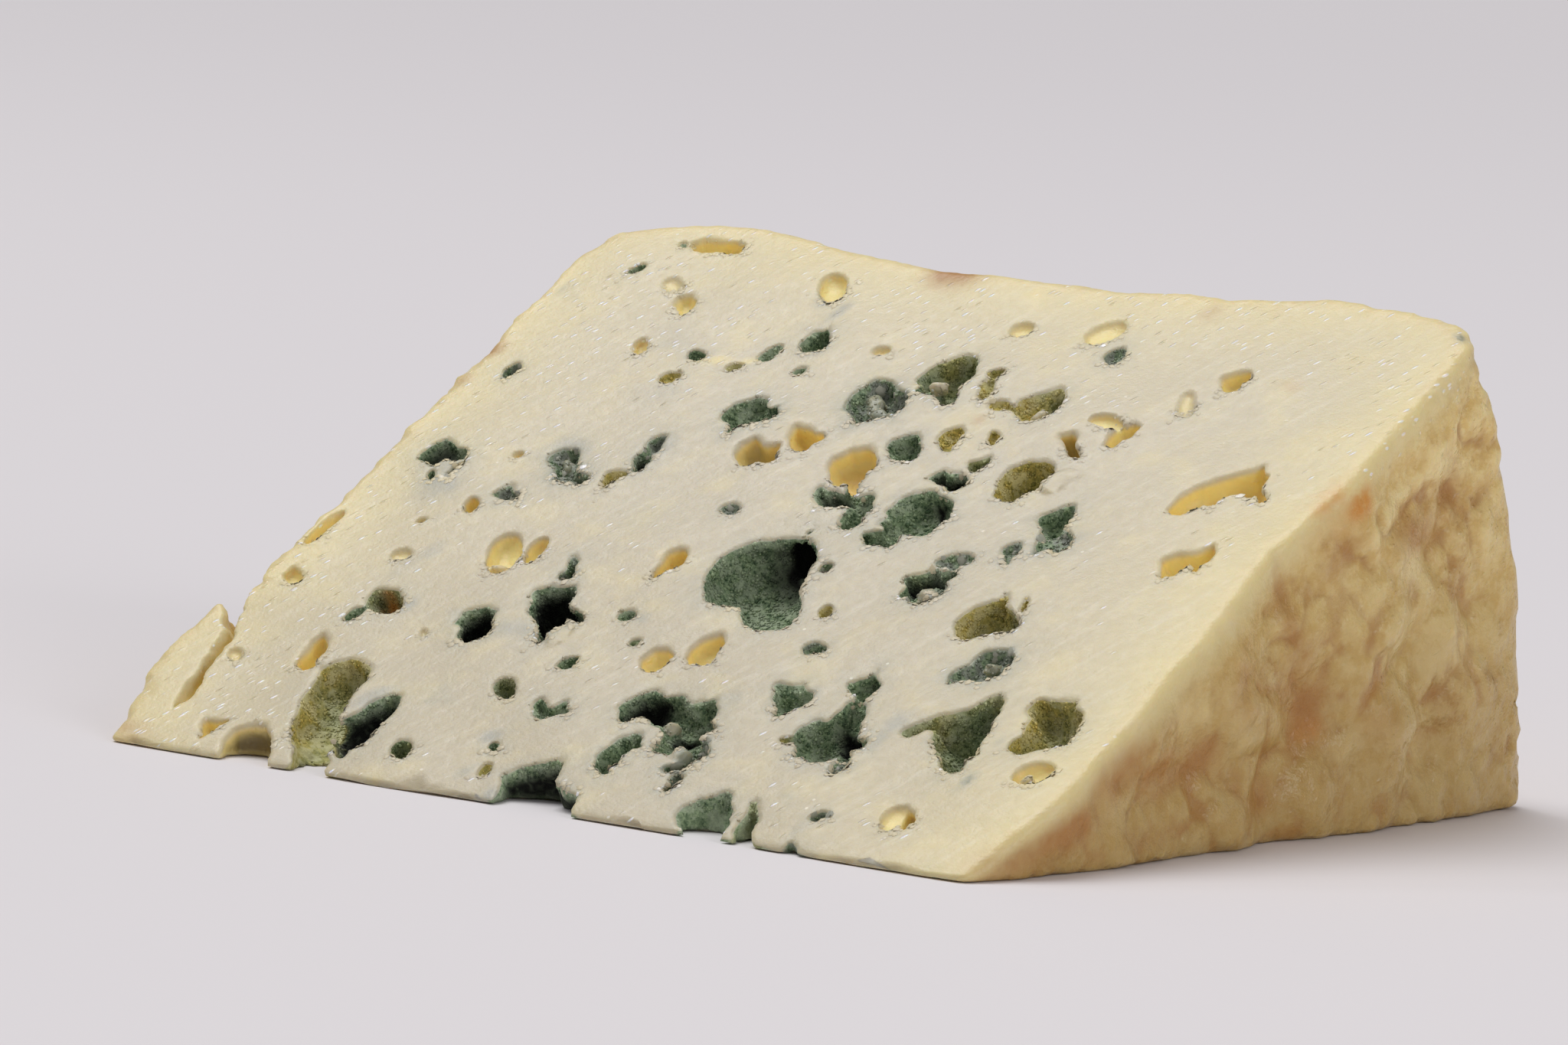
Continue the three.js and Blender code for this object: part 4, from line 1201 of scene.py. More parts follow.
@dataclass
class CheeseBody:
    """The one solid of cheese: rind, paste, holes and mould, as a single closed surface.

    A honeycombed paste with overhanging rims isn't a function of two parameters, so its surface
    is where a distance worked out over a block of the plan is zero.
    """

    form: WedgeForm = field(default_factory=WedgeForm)
    veining: Veining = field(default_factory=Veining)
    block: SampledBlock = field(default_factory=SampledBlock)
    most_triangles: int = 190000
    thinning_steps: int = 40
    plain_weight: float = 6.0
    relief_band: float = 3.0
    end_detail: float = 0.42
    rind_detail: float = 0.2
    cut_detail: float = 0.16
    foot_detail: float = 0.04
    edge_detail: float = 0.7
    hole_detail: float = 0.94
    foot_hole_detail: float = 0.3
    foot_height: float = 0.6
    rind_skin: float = 1.5
    share_reach: float = 0.35
    halo_reach: float = 0.7
    widest: float = 2.5
    lip_middle: float = 0.2
    lip_reach: float = 0.45
    points: np.ndarray = field(default=None, repr=False)
    outward: np.ndarray = field(default=None, repr=False)
    triangles: np.ndarray = field(default=None, repr=False)
    found: dict = field(default_factory=dict, repr=False)

    def wall_noise(self, points: np.ndarray, patterns: range) -> dict:
        """The unevenness of hole walls: how far their place wanders, and some ragged patterns.

        Args:
            points: rows of plan places.
            patterns: which of the ragged patterns to work out.

        Returns:
            The wander under "x" and "s", and each pattern under its number.
        """
        veining = self.veining
        noise = {number: rough(points, veining.ragged_pitch, 20 + number) for number in patterns}
        noise["x"] = veining.wander * grain(points, veining.wander_pitch, 11)
        noise["s"] = veining.wander * grain(points, veining.wander_pitch, 12)
        return noise

    def hole_gap(self, hole: Hole | Torn, points: np.ndarray, noise: dict, pattern: int) -> np.ndarray:
        """Distance from a hole's wall after its place has wandered and its wall is made ragged.

        Args:
            hole: the hole.
            points: rows of plan places.
            noise: the unevenness there, from wall_noise.
            pattern: the number of the hole's ragged pattern.

        Returns:
            The distance at each place, negative inside the hole.
        """
        gap = hole.distance(points[:, 0] + noise["x"], points[:, 1] + noise["s"], points[:, 2])
        return gap + hole.lining.value.ragged * noise[pattern]

    def drag_side(self, hole: Hole | Torn, plan: np.ndarray) -> np.ndarray:
        """The side of a hole that each place is on: 1 where the knife went, -1 where it came from.

        Args:
            hole: the hole.
            plan: rows of plan places.

        Returns:
            A value from -1 to 1 for each place.
        """
        x, s = hole.middle()
        away_x, away_s = plan[:, 0] - x, plan[:, 1] - s
        side = self.veining.drag_x * away_x + self.veining.drag_s * away_s
        return side / np.maximum(np.hypot(away_x, away_s), 0.5)

    def lump_gap(self, lump: Lump, points: np.ndarray, ragged: np.ndarray) -> np.ndarray:
        """Distance from a lump's ragged surface, from its own and the raggedness there."""
        return lump.distance(points[:, 0], points[:, 1], points[:, 2]) + ragged

    def lump_noise(self, points: np.ndarray) -> np.ndarray:
        """How ragged the lumps' surfaces are at each place, in mm."""
        return self.veining.lump_ragged * rough(points, self.veining.lump_pitch, 31)

    def underside(self, points: np.ndarray) -> np.ndarray:
        """Turns the plan of the sloping cut to that of the cut it lies on: (x, y, height above it)."""
        y, z = self.form.section(points[:, 1], points[:, 2])
        return np.stack([points[:, 0], y, -z], axis=1)

    def fill_block(self) -> None:
        """Works out the distance from the cheese's surface at every corner of the block."""
        block, form, veining = self.block, self.form, self.veining
        cut, flat, curved, foot = form.faces(*block.axes())
        rind = form.rind(flat, curved)
        near = np.abs(rind) < self.relief_band
        near &= form.skin(rind, cut, foot) > -self.relief_band
        i, j, k = np.nonzero(near)
        rind[near] += form.fine_relief(np.stack([block.xs[i], block.ss[j], block.ds[k]], axis=1))
        block.distance = form.skin(rind, cut, foot).astype(np.float32)
        for seed, hole in enumerate(veining.holes):
            x, s = hole.middle()
            self._carve(block.window((x, s, -0.3 * hole.depth), hole.reach()), hole, seed, False)
        for seed, hole in enumerate(veining.underside_holes):
            s = hole.s * math.cos(form.angle)
            d = -hole.s * math.sin(form.angle)
            self._carve(block.window((hole.x, s, d), hole.reach() + 1.0), hole, seed, True)
        for lump in veining.lumps:
            self._add_lump(lump)
        self._crack()
        self._ledge()

    def _carve(self, window: tuple, hole: Hole | Torn, seed: int, below: bool) -> None:
        """Takes a hole out of the block: the larger of the distance and minus the hole's own.

        The knife was drawn up and to the left, so it pressed the rims on that side round and left
        the others crisp.

        Args:
            window: the part of the block that the hole can reach.
            hole: the hole.
            seed: its number, which picks its ragged pattern.
            below: whether it is in the cut that the wedge lies on.
        """
        points = self.block.points(window)
        plan = self.underside(points) if below else points
        veining = self.veining
        pattern = seed % veining.patterns
        gap = self.hole_gap(hole, plan, self.wall_noise(plan, range(pattern, pattern + 1)), pattern)
        pressed = min(veining.pressed_rim, 0.5 * hole.breadth())
        wide = smooth_step(0.0, 0.9, self.drag_side(hole, plan))
        band = veining.crisp_rim + (pressed - veining.crisp_rim) * wide
        part = self.block.distance[window]
        cut = rounded_max(part, -gap.reshape(part.shape), band.reshape(part.shape))
        self.block.distance[window] = cut

    def _add_lump(self, lump: Lump) -> None:
        """Adds a ragged lump of paste to the block: the smaller of the two distances, blended.

        Args:
            lump: the lump.
        """
        reach = Hole.SLACK + max(lump.half_length, lump.half_width, lump.half_height)
        window = self.block.window((lump.x, lump.s, lump.d), reach)
        points = self.block.points(window)
        own = self.lump_gap(lump, points, self.lump_noise(points))
        part = self.block.distance[window]
        own = np.maximum(own, points[:, 2] - self.veining.lump_rise).reshape(part.shape)
        self.block.distance[window] = -rounded_max(-part, -own, self.veining.crisp_rim)

    def crack_gap(self, points: np.ndarray) -> np.ndarray:
        """Distance from the crack behind the flake: its outlines carried down, with ragged sides.

        Args:
            points: rows of (x, s, d).

        Returns:
            The distance at each, negative inside the crack.
        """
        veining = self.veining
        gap = np.full(len(points), FAR)
        ragged = veining.crack_ragged * rough(points, veining.crack_pitch, 41)
        narrowing = veining.crack_narrowing * np.maximum(-points[:, 2], 0.0)
        for outline, depth in (
            (veining.crack_mouth, veining.crack_mouth_depth),
            (veining.crack_cleft, veining.crack_cleft_depth),
        ):
            side = outline_distance(points[:, 0], points[:, 1], outline) + narrowing + ragged
            gap = np.minimum(gap, np.maximum(side, -depth - points[:, 2]))
        return gap

    def _crack(self) -> None:
        """Opens the crack behind the flake."""
        window = self.block.window(self.veining.crack_middle, self.veining.crack_reach)
        part = self.block.distance[window]
        gap = self.crack_gap(self.block.points(window)).reshape(part.shape)
        self.block.distance[window] = rounded_max(part, -gap, self.veining.crisp_rim)

    def _ledge(self) -> None:
        """Cuts the notch above the broken ledge, low on the curved rind by the +x end."""
        block, form, veining = self.block, self.form, self.veining
        place_x, place_y, place_z = veining.ledge_place
        s = place_y * math.cos(form.angle) + place_z * math.sin(form.angle)
        d = place_z * math.cos(form.angle) - place_y * math.sin(form.angle)
        window = block.window((place_x, s, d), veining.ledge_reach)
        points = block.points(window)
        y, z = form.section(points[:, 1], points[:, 2])
        notch = Lump(*veining.ledge_place, *veining.ledge_sizes, veining.ledge_turn)
        ragged = veining.ledge_ragged * rough(points, veining.ledge_pitch, 43)
        gap = notch.distance(points[:, 0], y, z) + ragged
        part = block.distance[window]
        block.distance[window] = rounded_max(part, -gap.reshape(part.shape), veining.crisp_rim)

    def build(self) -> bpy.types.Object:
        """Makes the closed surface, thins it where it is plain, and writes the masks on it.

        Returns:
            The piece, in the frame, with a float attribute for each mask.
        """
        self.fill_block()
        points, quads = largest_piece(*self.block.surface())
        log.info("surface: %d points, %d quads", len(points), len(quads))
        piece = mesh_object("cheese", self.form.to_frame(points), quads)
        self._thin(piece, points)
        self._finish_surface(piece)
        return piece

    def _thin(self, piece: bpy.types.Object, points: np.ndarray) -> None:
        """Merges faces until the piece keeps to its number of triangles, most where it is plain.

        Decimate's cost for an edge is its length times how plain its ends are, so the edges end
        up about as long as one over the detail wanted there.

        Args:
            piece: the piece.
            points: its points as rows of (x, s, d).
        """
        plain = 1.0 - np.clip(self.masks(points)["detail"], 0.0, 1.0)
        plain = np.round(plain * self.thinning_steps) / self.thinning_steps
        group = piece.vertex_groups.new(name="plain")
        for level in np.unique(plain):
            group.add(np.flatnonzero(plain == level).tolist(), float(level), "REPLACE")
        thin = piece.modifiers.new("thin", "DECIMATE")
        thin.ratio = min(1.0, self.most_triangles / (2.0 * len(piece.data.polygons)))
        thin.vertex_group = "plain"
        thin.vertex_group_factor = self.plain_weight
        graph = bpy.context.evaluated_depsgraph_get()
        thinned = bpy.data.meshes.new_from_object(piece.evaluated_get(graph))
        piece.modifiers.clear()
        piece.vertex_groups.clear()
        old = piece.data
        piece.data = thinned
        bpy.data.meshes.remove(old)
        thinned.name = "cheese"
        thinned.polygons.foreach_set("use_smooth", np.ones(len(thinned.polygons), bool))
        thinned.calc_loop_triangles()
        log.info("thinned to %d faces, %d triangles", len(thinned.polygons), len(thinned.loop_triangles))

    def _detail(
        self, points: np.ndarray, cut: np.ndarray, rind_gap: np.ndarray, z: np.ndarray, busy: np.ndarray
    ) -> np.ndarray:
        """How fine the faces have to be: most by holes, then by the cut's edges and the +x end.

        Args:
            points: rows of (x, s, d).
            cut: distance from the cut face.
            rind_gap: distance from the rind.
            z: height above the surface that the wedge lies on.
            busy: how close each point is to a hole, 0 to 1.

        Returns:
            The detail at each point, 0 to 1.
        """
        paste, foot = rind_gap < -self.rind_skin, z < self.foot_height
        detail = np.where(points[:, 0] > 48.0, self.end_detail, self.rind_detail)
        detail = np.where(paste & (cut > -self.rind_skin), self.cut_detail, detail)
        detail = np.where(paste & foot, self.foot_detail, detail)
        edge = self.edge_detail * bell(rind_gap, 2.2) * bell(cut, 3.0)
        by_hole = np.where(foot, self.foot_hole_detail, self.hole_detail) * busy
        return np.maximum(np.maximum(detail, edge), by_hole)

    def plan_of(self, piece: bpy.types.Object) -> np.ndarray:
        """Reads a piece's points and turns them back to the plan.

        Args:
            piece: the piece, in the frame.

        Returns:
            Its points as rows of (x, s, d).
        """
        place = np.empty(len(piece.data.vertices) * 3, np.float32)
        piece.data.vertices.foreach_get("co", place)
        place = place.reshape(-1, 3) / MM + [self.form.middle_x, self.form.middle_y, 0.0]
        cos, sin = math.cos(self.form.angle), math.sin(self.form.angle)
        s = place[:, 1] * cos + place[:, 2] * sin
        d = place[:, 2] * cos - place[:, 1] * sin
        return np.stack([place[:, 0], s, d], axis=1)

    def write_masks(self, piece: bpy.types.Object, points: np.ndarray, masks: dict) -> None:
        """Writes masks on a piece's points, and their place along and across the knife's drag.

        Args:
            piece: the piece, in the frame.
            points: its points as rows of (x, s, d).
            masks: values from 0 to 1 by name.
        """
        for name in PasteFinish.MASKS:
            attribute = piece.data.attributes.new(name, "FLOAT", "POINT")
            attribute.data.foreach_set("value", masks[name].astype(np.float32))
        cos, sin = math.cos(self.veining.streak_turn), math.sin(self.veining.streak_turn)
        along = points[:, 0] * cos + points[:, 1] * sin
        across = points[:, 0] * sin - points[:, 1] * cos
        drag = np.stack([along, across, points[:, 2]], axis=1)
        attribute = piece.data.attributes.new("drag_mm", "FLOAT_VECTOR", "POINT")
        attribute.data.foreach_set("vector", drag.astype(np.float32).ravel())

    def _finish_surface(self, piece: bpy.types.Object) -> None:
        """Writes the masks and the true normals on the thinned surface, and keeps them for scatters.

        Args:
            piece: the thinned piece.
        """
        self.points = self.plan_of(piece)
        self.found = self.masks(self.points)
        self.found |= {"tone": np.full(len(self.points), 0.5), "body": np.ones(len(self.points))}
        self.write_masks(piece, self.points, self.found)
        plan_normals = self.block.normals(self.points)
        y, z = self.form.section(plan_normals[:, 1], plan_normals[:, 2])
        self.outward = np.stack([plan_normals[:, 0], y, z], axis=1)
        piece.data.normals_split_custom_set_from_vertices(self.outward.tolist())
        corners = np.empty(len(piece.data.loop_triangles) * 3, np.int32)
        piece.data.loop_triangles.foreach_get("vertices", corners)
        self.triangles = corners.reshape(-1, 3)

    def masks(self, points: np.ndarray) -> dict[str, np.ndarray]:
        """What lies on the cheese's surface at each point, each 0 to 1.

        Formula: what the holes and the crack bring, then the flat marks, less what the lumps keep
        clear. The rind is what lies within about a millimetre of the rind's own surface.

        Args:
            points: rows of (x, s, d).

        Returns:
            The masks by name.
        """
        form = self.form
        cut, flat, curved, _ = form.faces(points[:, 0], points[:, 1], points[:, 2])
        rind_gap = form.rind(flat, curved)
        z = form.section(points[:, 1], points[:, 2])[1]
        masks = self._hole_masks(points, cut)
        self._mark_crack(masks, points, cut)
        masks["detail"] = self._detail(points, cut, rind_gap, z, masks["busy"])
        # the wet mask gathers the glossy ripples and also the painted white glints, most to the left and
        # the top
        left = smooth_step(-20.0, -58.0, points[:, 0])
        top = smooth_step(52.0, 92.0, points[:, 1])
        wet = 0.25 + 0.6 * np.maximum(left, top) + 0.5 * grain(points, 6.0, 52)
        masks["wet"] = np.clip(np.maximum(wet, masks["lip"]), 0.0, 1.0)
        on_rind = rind_gap > -2.5
        masks["hollow"] = np.full(len(points), 0.5)
        masks["hollow"][on_rind] = np.clip(0.5 + form.fine_relief(points[on_rind]) / 1.4, 0.0, 1.0)
        # painted shade: how much paste and rind are darkened, rising towards the foot
        masks["low"] = smooth_step(46.0, 0.0, z)
        self._lay_marks(masks, points, smooth_step(-1.6, -0.4, cut))
        self._clear_lumps(masks, points)
        under_edge = 0.15 + 0.85 * smooth_step(0.6, 4.5, -cut)
        masks["rind"] = smooth_step(-2.4, -1.3, rind_gap) * (1.0 - masks["wall"]) * under_edge
        masks["near_rind"] = np.exp(np.minimum(rind_gap, 0.0) / 10.0)
        return masks

    def _hole_masks(self, points: np.ndarray, cut: np.ndarray) -> dict[str, np.ndarray]:
        """What the holes bring to each point: linings, haloes, lips, depth and painted shade, each 0 to 1.

        Formula: a lining is the mean of the holes' tones, weighted by their shares at the point,
        and shows where there is a wall. Of anything else, the hole that brings most counts.

        Args:
            points: rows of (x, s, d).
            cut: their distance from the cut face.

        Returns:
            The masks by name, with how much of a wall it is as "wall", and how close a hole is as
            "busy".
        """
        veining = self.veining
        below = self.underside(points)
        numbers = range(veining.patterns)
        tones = ("mould", "bare", "grey", "rust", "olive")
        names = tones + ("wall", "halo", "deep", "sunk", "busy", "dark", "lip")
        masks = {name: np.zeros(len(points)) for name in names}
        weights = np.full(len(points), TINY)
        for holes, plan, sunk, noise in (
            (veining.holes, points, -cut, self.wall_noise(points, numbers)),
            (veining.underside_holes, below, -below[:, 2], self.wall_noise(below, numbers)),
        ):
            for seed, hole in enumerate(holes):
                x, s = hole.middle()
                away = np.hypot(plan[:, 0] - x, plan[:, 1] - s)
                close = np.flatnonzero((away < hole.reach() + 4.0) & (sunk < hole.depth + 3.0))
                if not len(close):
                    continue
                near = {name: values[close] for name, values in noise.items()}
                gap = self.hole_gap(hole, plan[close], near, seed % veining.patterns)
                gap = np.maximum(gap, 0.0)
                share = np.exp(-gap / self.share_reach)
                weights[close] += share
                for name in tones:
                    masks[name][close] += share * getattr(hole.lining.value, name)
                side = self.drag_side(hole, plan[close])
                for name, value in self._hole_effects(hole, gap, share, sunk[close], side).items():
                    raise_to(masks[name], close, value)
        for name in tones:
            shown = masks[name] if name == "olive" else masks["wall"] * masks[name]
            masks[name] = shown / weights
        return masks

    def _hole_effects(
        self, hole: Hole | Torn, gap: np.ndarray, share: np.ndarray, sunk: np.ndarray, side: np.ndarray
    ) -> dict[str, np.ndarray]:
        """What one hole brings to the points close to it, besides its lining's tones.

        Formula: a wall is where the share is high and the point is below the cut. A halo fades
        with the distance, and is wider round a wider hole. A lip is a bell round a small distance,
        on the side that the knife came from.

        Args:
            hole: the hole.
            gap: distance from its wall, 0 or more.
            share: how much of a point is this hole's, 0 to 1.
            sunk: how deep under the cut the point is.
            side: the side of the hole that it is on, from drag_side.

        Returns:
            Values from 0 to 1 by name.
        """
        tone = hole.lining.value
        size = min(hole.breadth(), self.widest) / self.widest
        ring = tone.halo * np.exp(-gap / (self.halo_reach + self.halo_reach * size))
        lip = bell(gap - self.lip_middle, self.lip_reach) * smooth_step(0.1, -0.5, side)
        return {
            "busy": smooth_step(4.0, 0.6, gap),
            "wall": smooth_step(0.12, 0.6, share) * smooth_step(0.05, 0.55, sunk),
            # painted shade: how much the hole darkens what lies deep in it
            "dark": share * tone.dark,
            "lip": lip * smooth_step(1.0, 0.2, sunk),
            "halo": ring * (0.4 + 0.6 * size),
            "deep": smooth_step(0.3, 1.0, sunk / hole.depth) * share,
            "sunk": share * np.clip(sunk / 6.0, 0.0, 1.0),
        }

    def _mark_crack(self, masks: dict, points: np.ndarray, cut: np.ndarray) -> None:
        """Makes the crack's walls bare, and notes how deep and how close it is.

        Args:
            masks: what the holes brought, changed in place.
            points: rows of (x, s, d).
            cut: their distance from the cut face.
        """
        by_flake = (points[:, 0] < -48.0) & (points[:, 1] < 34.0) & (points[:, 2] > -14.0)
        left = np.flatnonzero(by_flake)
        gap = np.maximum(self.crack_gap(points[left]), 0.0)
        in_crack = smooth_step(0.9, 0.1, gap) * smooth_step(0.1, 0.7, -cut[left])
        raise_to(masks["bare"], left, 0.7 * in_crack)
        raise_to(masks["sunk"], left, in_crack * np.clip(-cut[left] / 14.0, 0.0, 0.4))
        raise_to(masks["busy"], left, smooth_step(3.0, 0.6, gap))

    def _lay_marks(self, masks: dict, points: np.ndarray, on_cut: np.ndarray) -> None:
        """Lays the flat marks on the cut, the holes' walls and the +x end, with ragged edges.
        Those on the walls are painted shade, but for one rust mark.

        Args:
            masks: the masks by name, changed in place.
            points: rows of (x, s, d).
            on_cut: how much each point is on the cut, 0 to 1.
        """
        veining = self.veining
        masks |= {name: np.zeros(len(points)) for name in ("haze", "pink", "pale", "amber")}
        y, z = self.form.section(points[:, 1], points[:, 2])
        on_end = smooth_step(50.0, 53.0, points[:, 0]) * (1.0 - on_cut)
        ragged = 1.0 + 0.45 * rough(points, 2.2, 51)
        for spots, first, second, where in (
            (veining.spots, points[:, 0], points[:, 1], on_cut),
            # painted shade, and one rust mark, on the holes' walls
            (veining.wall_shade_and_rust_marks, points[:, 0], points[:, 1], masks["wall"]),
            (veining.end_spots, y, z, on_end),
        ):
            for spot in spots:
                cover = np.clip(spot.cover(first, second) * where * ragged, 0.0, 1.0)
                masks[spot.mark.value] = np.maximum(masks[spot.mark.value], cover)

    def _clear_lumps(self, masks: dict, points: np.ndarray) -> None:
        """Keeps the linings off the lumps of paste: less of them the deeper in a lump's skin.

        Args:
            masks: the masks by name, changed in place.
            points: rows of (x, s, d).
        """
        ragged = self.lump_noise(points)
        for lump in self.veining.lumps:
            clear = 1.0 - 0.8 * smooth_step(0.35, 0.0, self.lump_gap(lump, points, ragged))
            for name in ("mould", "bare", "grey"):
                masks[name] = masks[name] * clear


@dataclass(frozen=True)
class Scatter:
    """Many small squashed lumps, part sunk in the cheese's surface, each a closed form of few faces.

    Their masks are the cheese's where they lie, but for those in fixed. Their normals lean from
    their own towards the surface's, because they are as translucent as what they stand on.
    """

    name: str
    many: int
    least: float
    most: float
    squash: float
    lift: float
    seed: int
    sides: int = 4
    rings: int = 1
    lean: float = 0.0
    fixed: tuple = ()

    def corners(self) -> tuple[np.ndarray, np.ndarray]:
        """One lump: a globe of few sides and rings; with one ring it is two pyramids on one base.

        Formula: (cos r cos t, cos r sin t, sin r) for evenly spaced turns t and rises r, and a pole
        at each end.

        Returns:
            Its points, and its triangles as rows of three point numbers, facing out.
        """
        turn = np.tile(np.arange(self.sides) * 2.0 * np.pi / self.sides, self.rings)
        rise = np.repeat(np.linspace(-0.5, 0.5, self.rings + 2)[1:-1] * np.pi, self.sides)
        belt = np.stack([np.cos(rise) * np.cos(turn), np.cos(rise) * np.sin(turn), np.sin(rise)], axis=1)
        here = np.arange(self.sides)
        after = (here + 1) % self.sides
        count = self.sides * self.rings
        bottom, top = np.full(self.sides, count), np.full(self.sides, count + 1)
        faces = [np.stack([after, here, bottom], axis=1)]
        for ring in range(self.rings - 1):
            low, high = ring * self.sides, (ring + 1) * self.sides
            faces.append(np.stack([low + here, low + after, high + after], axis=1))
            faces.append(np.stack([low + here, high + after, high + here], axis=1))
        last = (self.rings - 1) * self.sides
        faces.append(np.stack([last + here, last + after, top], axis=1))
        return np.concatenate([belt, [[0, 0, -1], [0, 0, 1]]]), np.concatenate(faces)

    def build(self, body: CheeseBody, weight: np.ndarray) -> bpy.types.Object:
        """Strews the lumps over the cheese.

        Formula: triangles of the cheese are drawn with a chance in proportion to their area and
        weight, and each lump sits at a random place in its triangle, turned at random about the
        surface's normal and squashed along it, with every corner moved in or out by up to a quarter.

        Args:
            body: the cheese, already built.
            weight: how thickly they lie at each of its points.

        Returns:
            The lumps as one piece, with the cheese's masks where they lie and a tone of their own.
        """
        random = np.random.default_rng(self.seed)
        places = body.form.to_frame(body.points)
        corner = places[body.triangles]
        area = np.linalg.norm(np.cross(corner[:, 1] - corner[:, 0], corner[:, 2] - corner[:, 0]), axis=1)
        chance = area * weight[body.triangles].mean(axis=1)
        chosen = body.triangles[random.choice(len(chance), self.many, p=chance / chance.sum())]
        share = random.dirichlet((1.0, 1.0, 1.0), self.many)
        centre = np.einsum("nk,nkc->nc", share, places[chosen])
        plan = np.einsum("nk,nkc->nc", share, body.points[chosen])
        normal = np.einsum("nk,nkc->nc", share, body.outward[chosen])
        normal /= np.maximum(np.linalg.norm(normal, axis=1, keepdims=True), 1e-9)
        side = np.cross(normal, random.normal(size=(self.many, 3)))
        side /= np.maximum(np.linalg.norm(side, axis=1, keepdims=True), 1e-9)
        axes = np.stack([side, np.cross(normal, side), normal], axis=1)
        size = self.least + (self.most - self.least) * random.random(self.many) ** 2
        scale = np.stack([size * random.uniform(0.8, 1.3, self.many), size, size * self.squash], axis=1)
        points, faces = self.corners()
        jitter = random.uniform(0.75, 1.25, (self.many, len(points), 1))
        local = points[None] * jitter * scale[:, None]
        centre = centre + normal * (self.lift * scale[:, 2])[:, None]
        mesh_points = centre[:, None] + np.einsum("nvk,nkc->nvc", local, axes)
        mesh_faces = faces[None] + (np.arange(self.many) * len(points))[:, None, None]
        piece = mesh_object(self.name, mesh_points.reshape(-1, 3), mesh_faces.reshape(-1, 3))
        repeat = len(points)
        masks = {
            name: np.repeat(np.einsum("nk,nk->n", share, values[chosen]), repeat)
            for name, values in body.found.items()
        }
        masks["tone"] = np.repeat(random.random(self.many), repeat)
        masks["body"] = np.zeros(self.many * repeat)
        for name, value in self.fixed:
            masks[name] = np.full(self.many * repeat, value)
        body.write_masks(piece, np.repeat(plan, repeat, axis=0), masks)
        if self.lean:
            own = np.einsum("nvk,nkc->nvc", local / scale[:, None] ** 2, axes)
            own /= np.maximum(np.linalg.norm(own, axis=2, keepdims=True), 1e-9)
            facing = (1.0 - self.lean) * own + self.lean * normal[:, None]
            piece.data.normals_split_custom_set_from_vertices(facing.reshape(-1, 3).tolist())
        return piece


# ---- finishes -----------------------------------------------------------------------------------


class Kind(Enum):
    """The kinds of node that the cheese's look is made of, each with its settings."""

    ATTRIBUTE = ("ShaderNodeAttribute", ())
    PLACE = ("ShaderNodeTexCoord", ())
    MAPPING = ("ShaderNodeMapping", ())
    NOISE = ("ShaderNodeTexNoise", ())
    CELLS = ("ShaderNodeTexVoronoi", ())
    CHANNELS = ("ShaderNodeSeparateColor", ())
    RAMP = ("ShaderNodeMapRange", (("interpolation_type", "SMOOTHSTEP"),))
    TIMES = ("ShaderNodeMath", (("operation", "MULTIPLY"),))
    TIMES_PLUS = ("ShaderNodeMath", (("operation", "MULTIPLY_ADD"),))
    MIX = ("ShaderNodeMix", ())
    BLEND = ("ShaderNodeMix", (("data_type", "RGBA"),))
    BUMP = ("ShaderNodeBump", ())
    SHADER = ("ShaderNodeBsdfPrincipled", ())
    OUTPUT = ("ShaderNodeOutputMaterial", ())


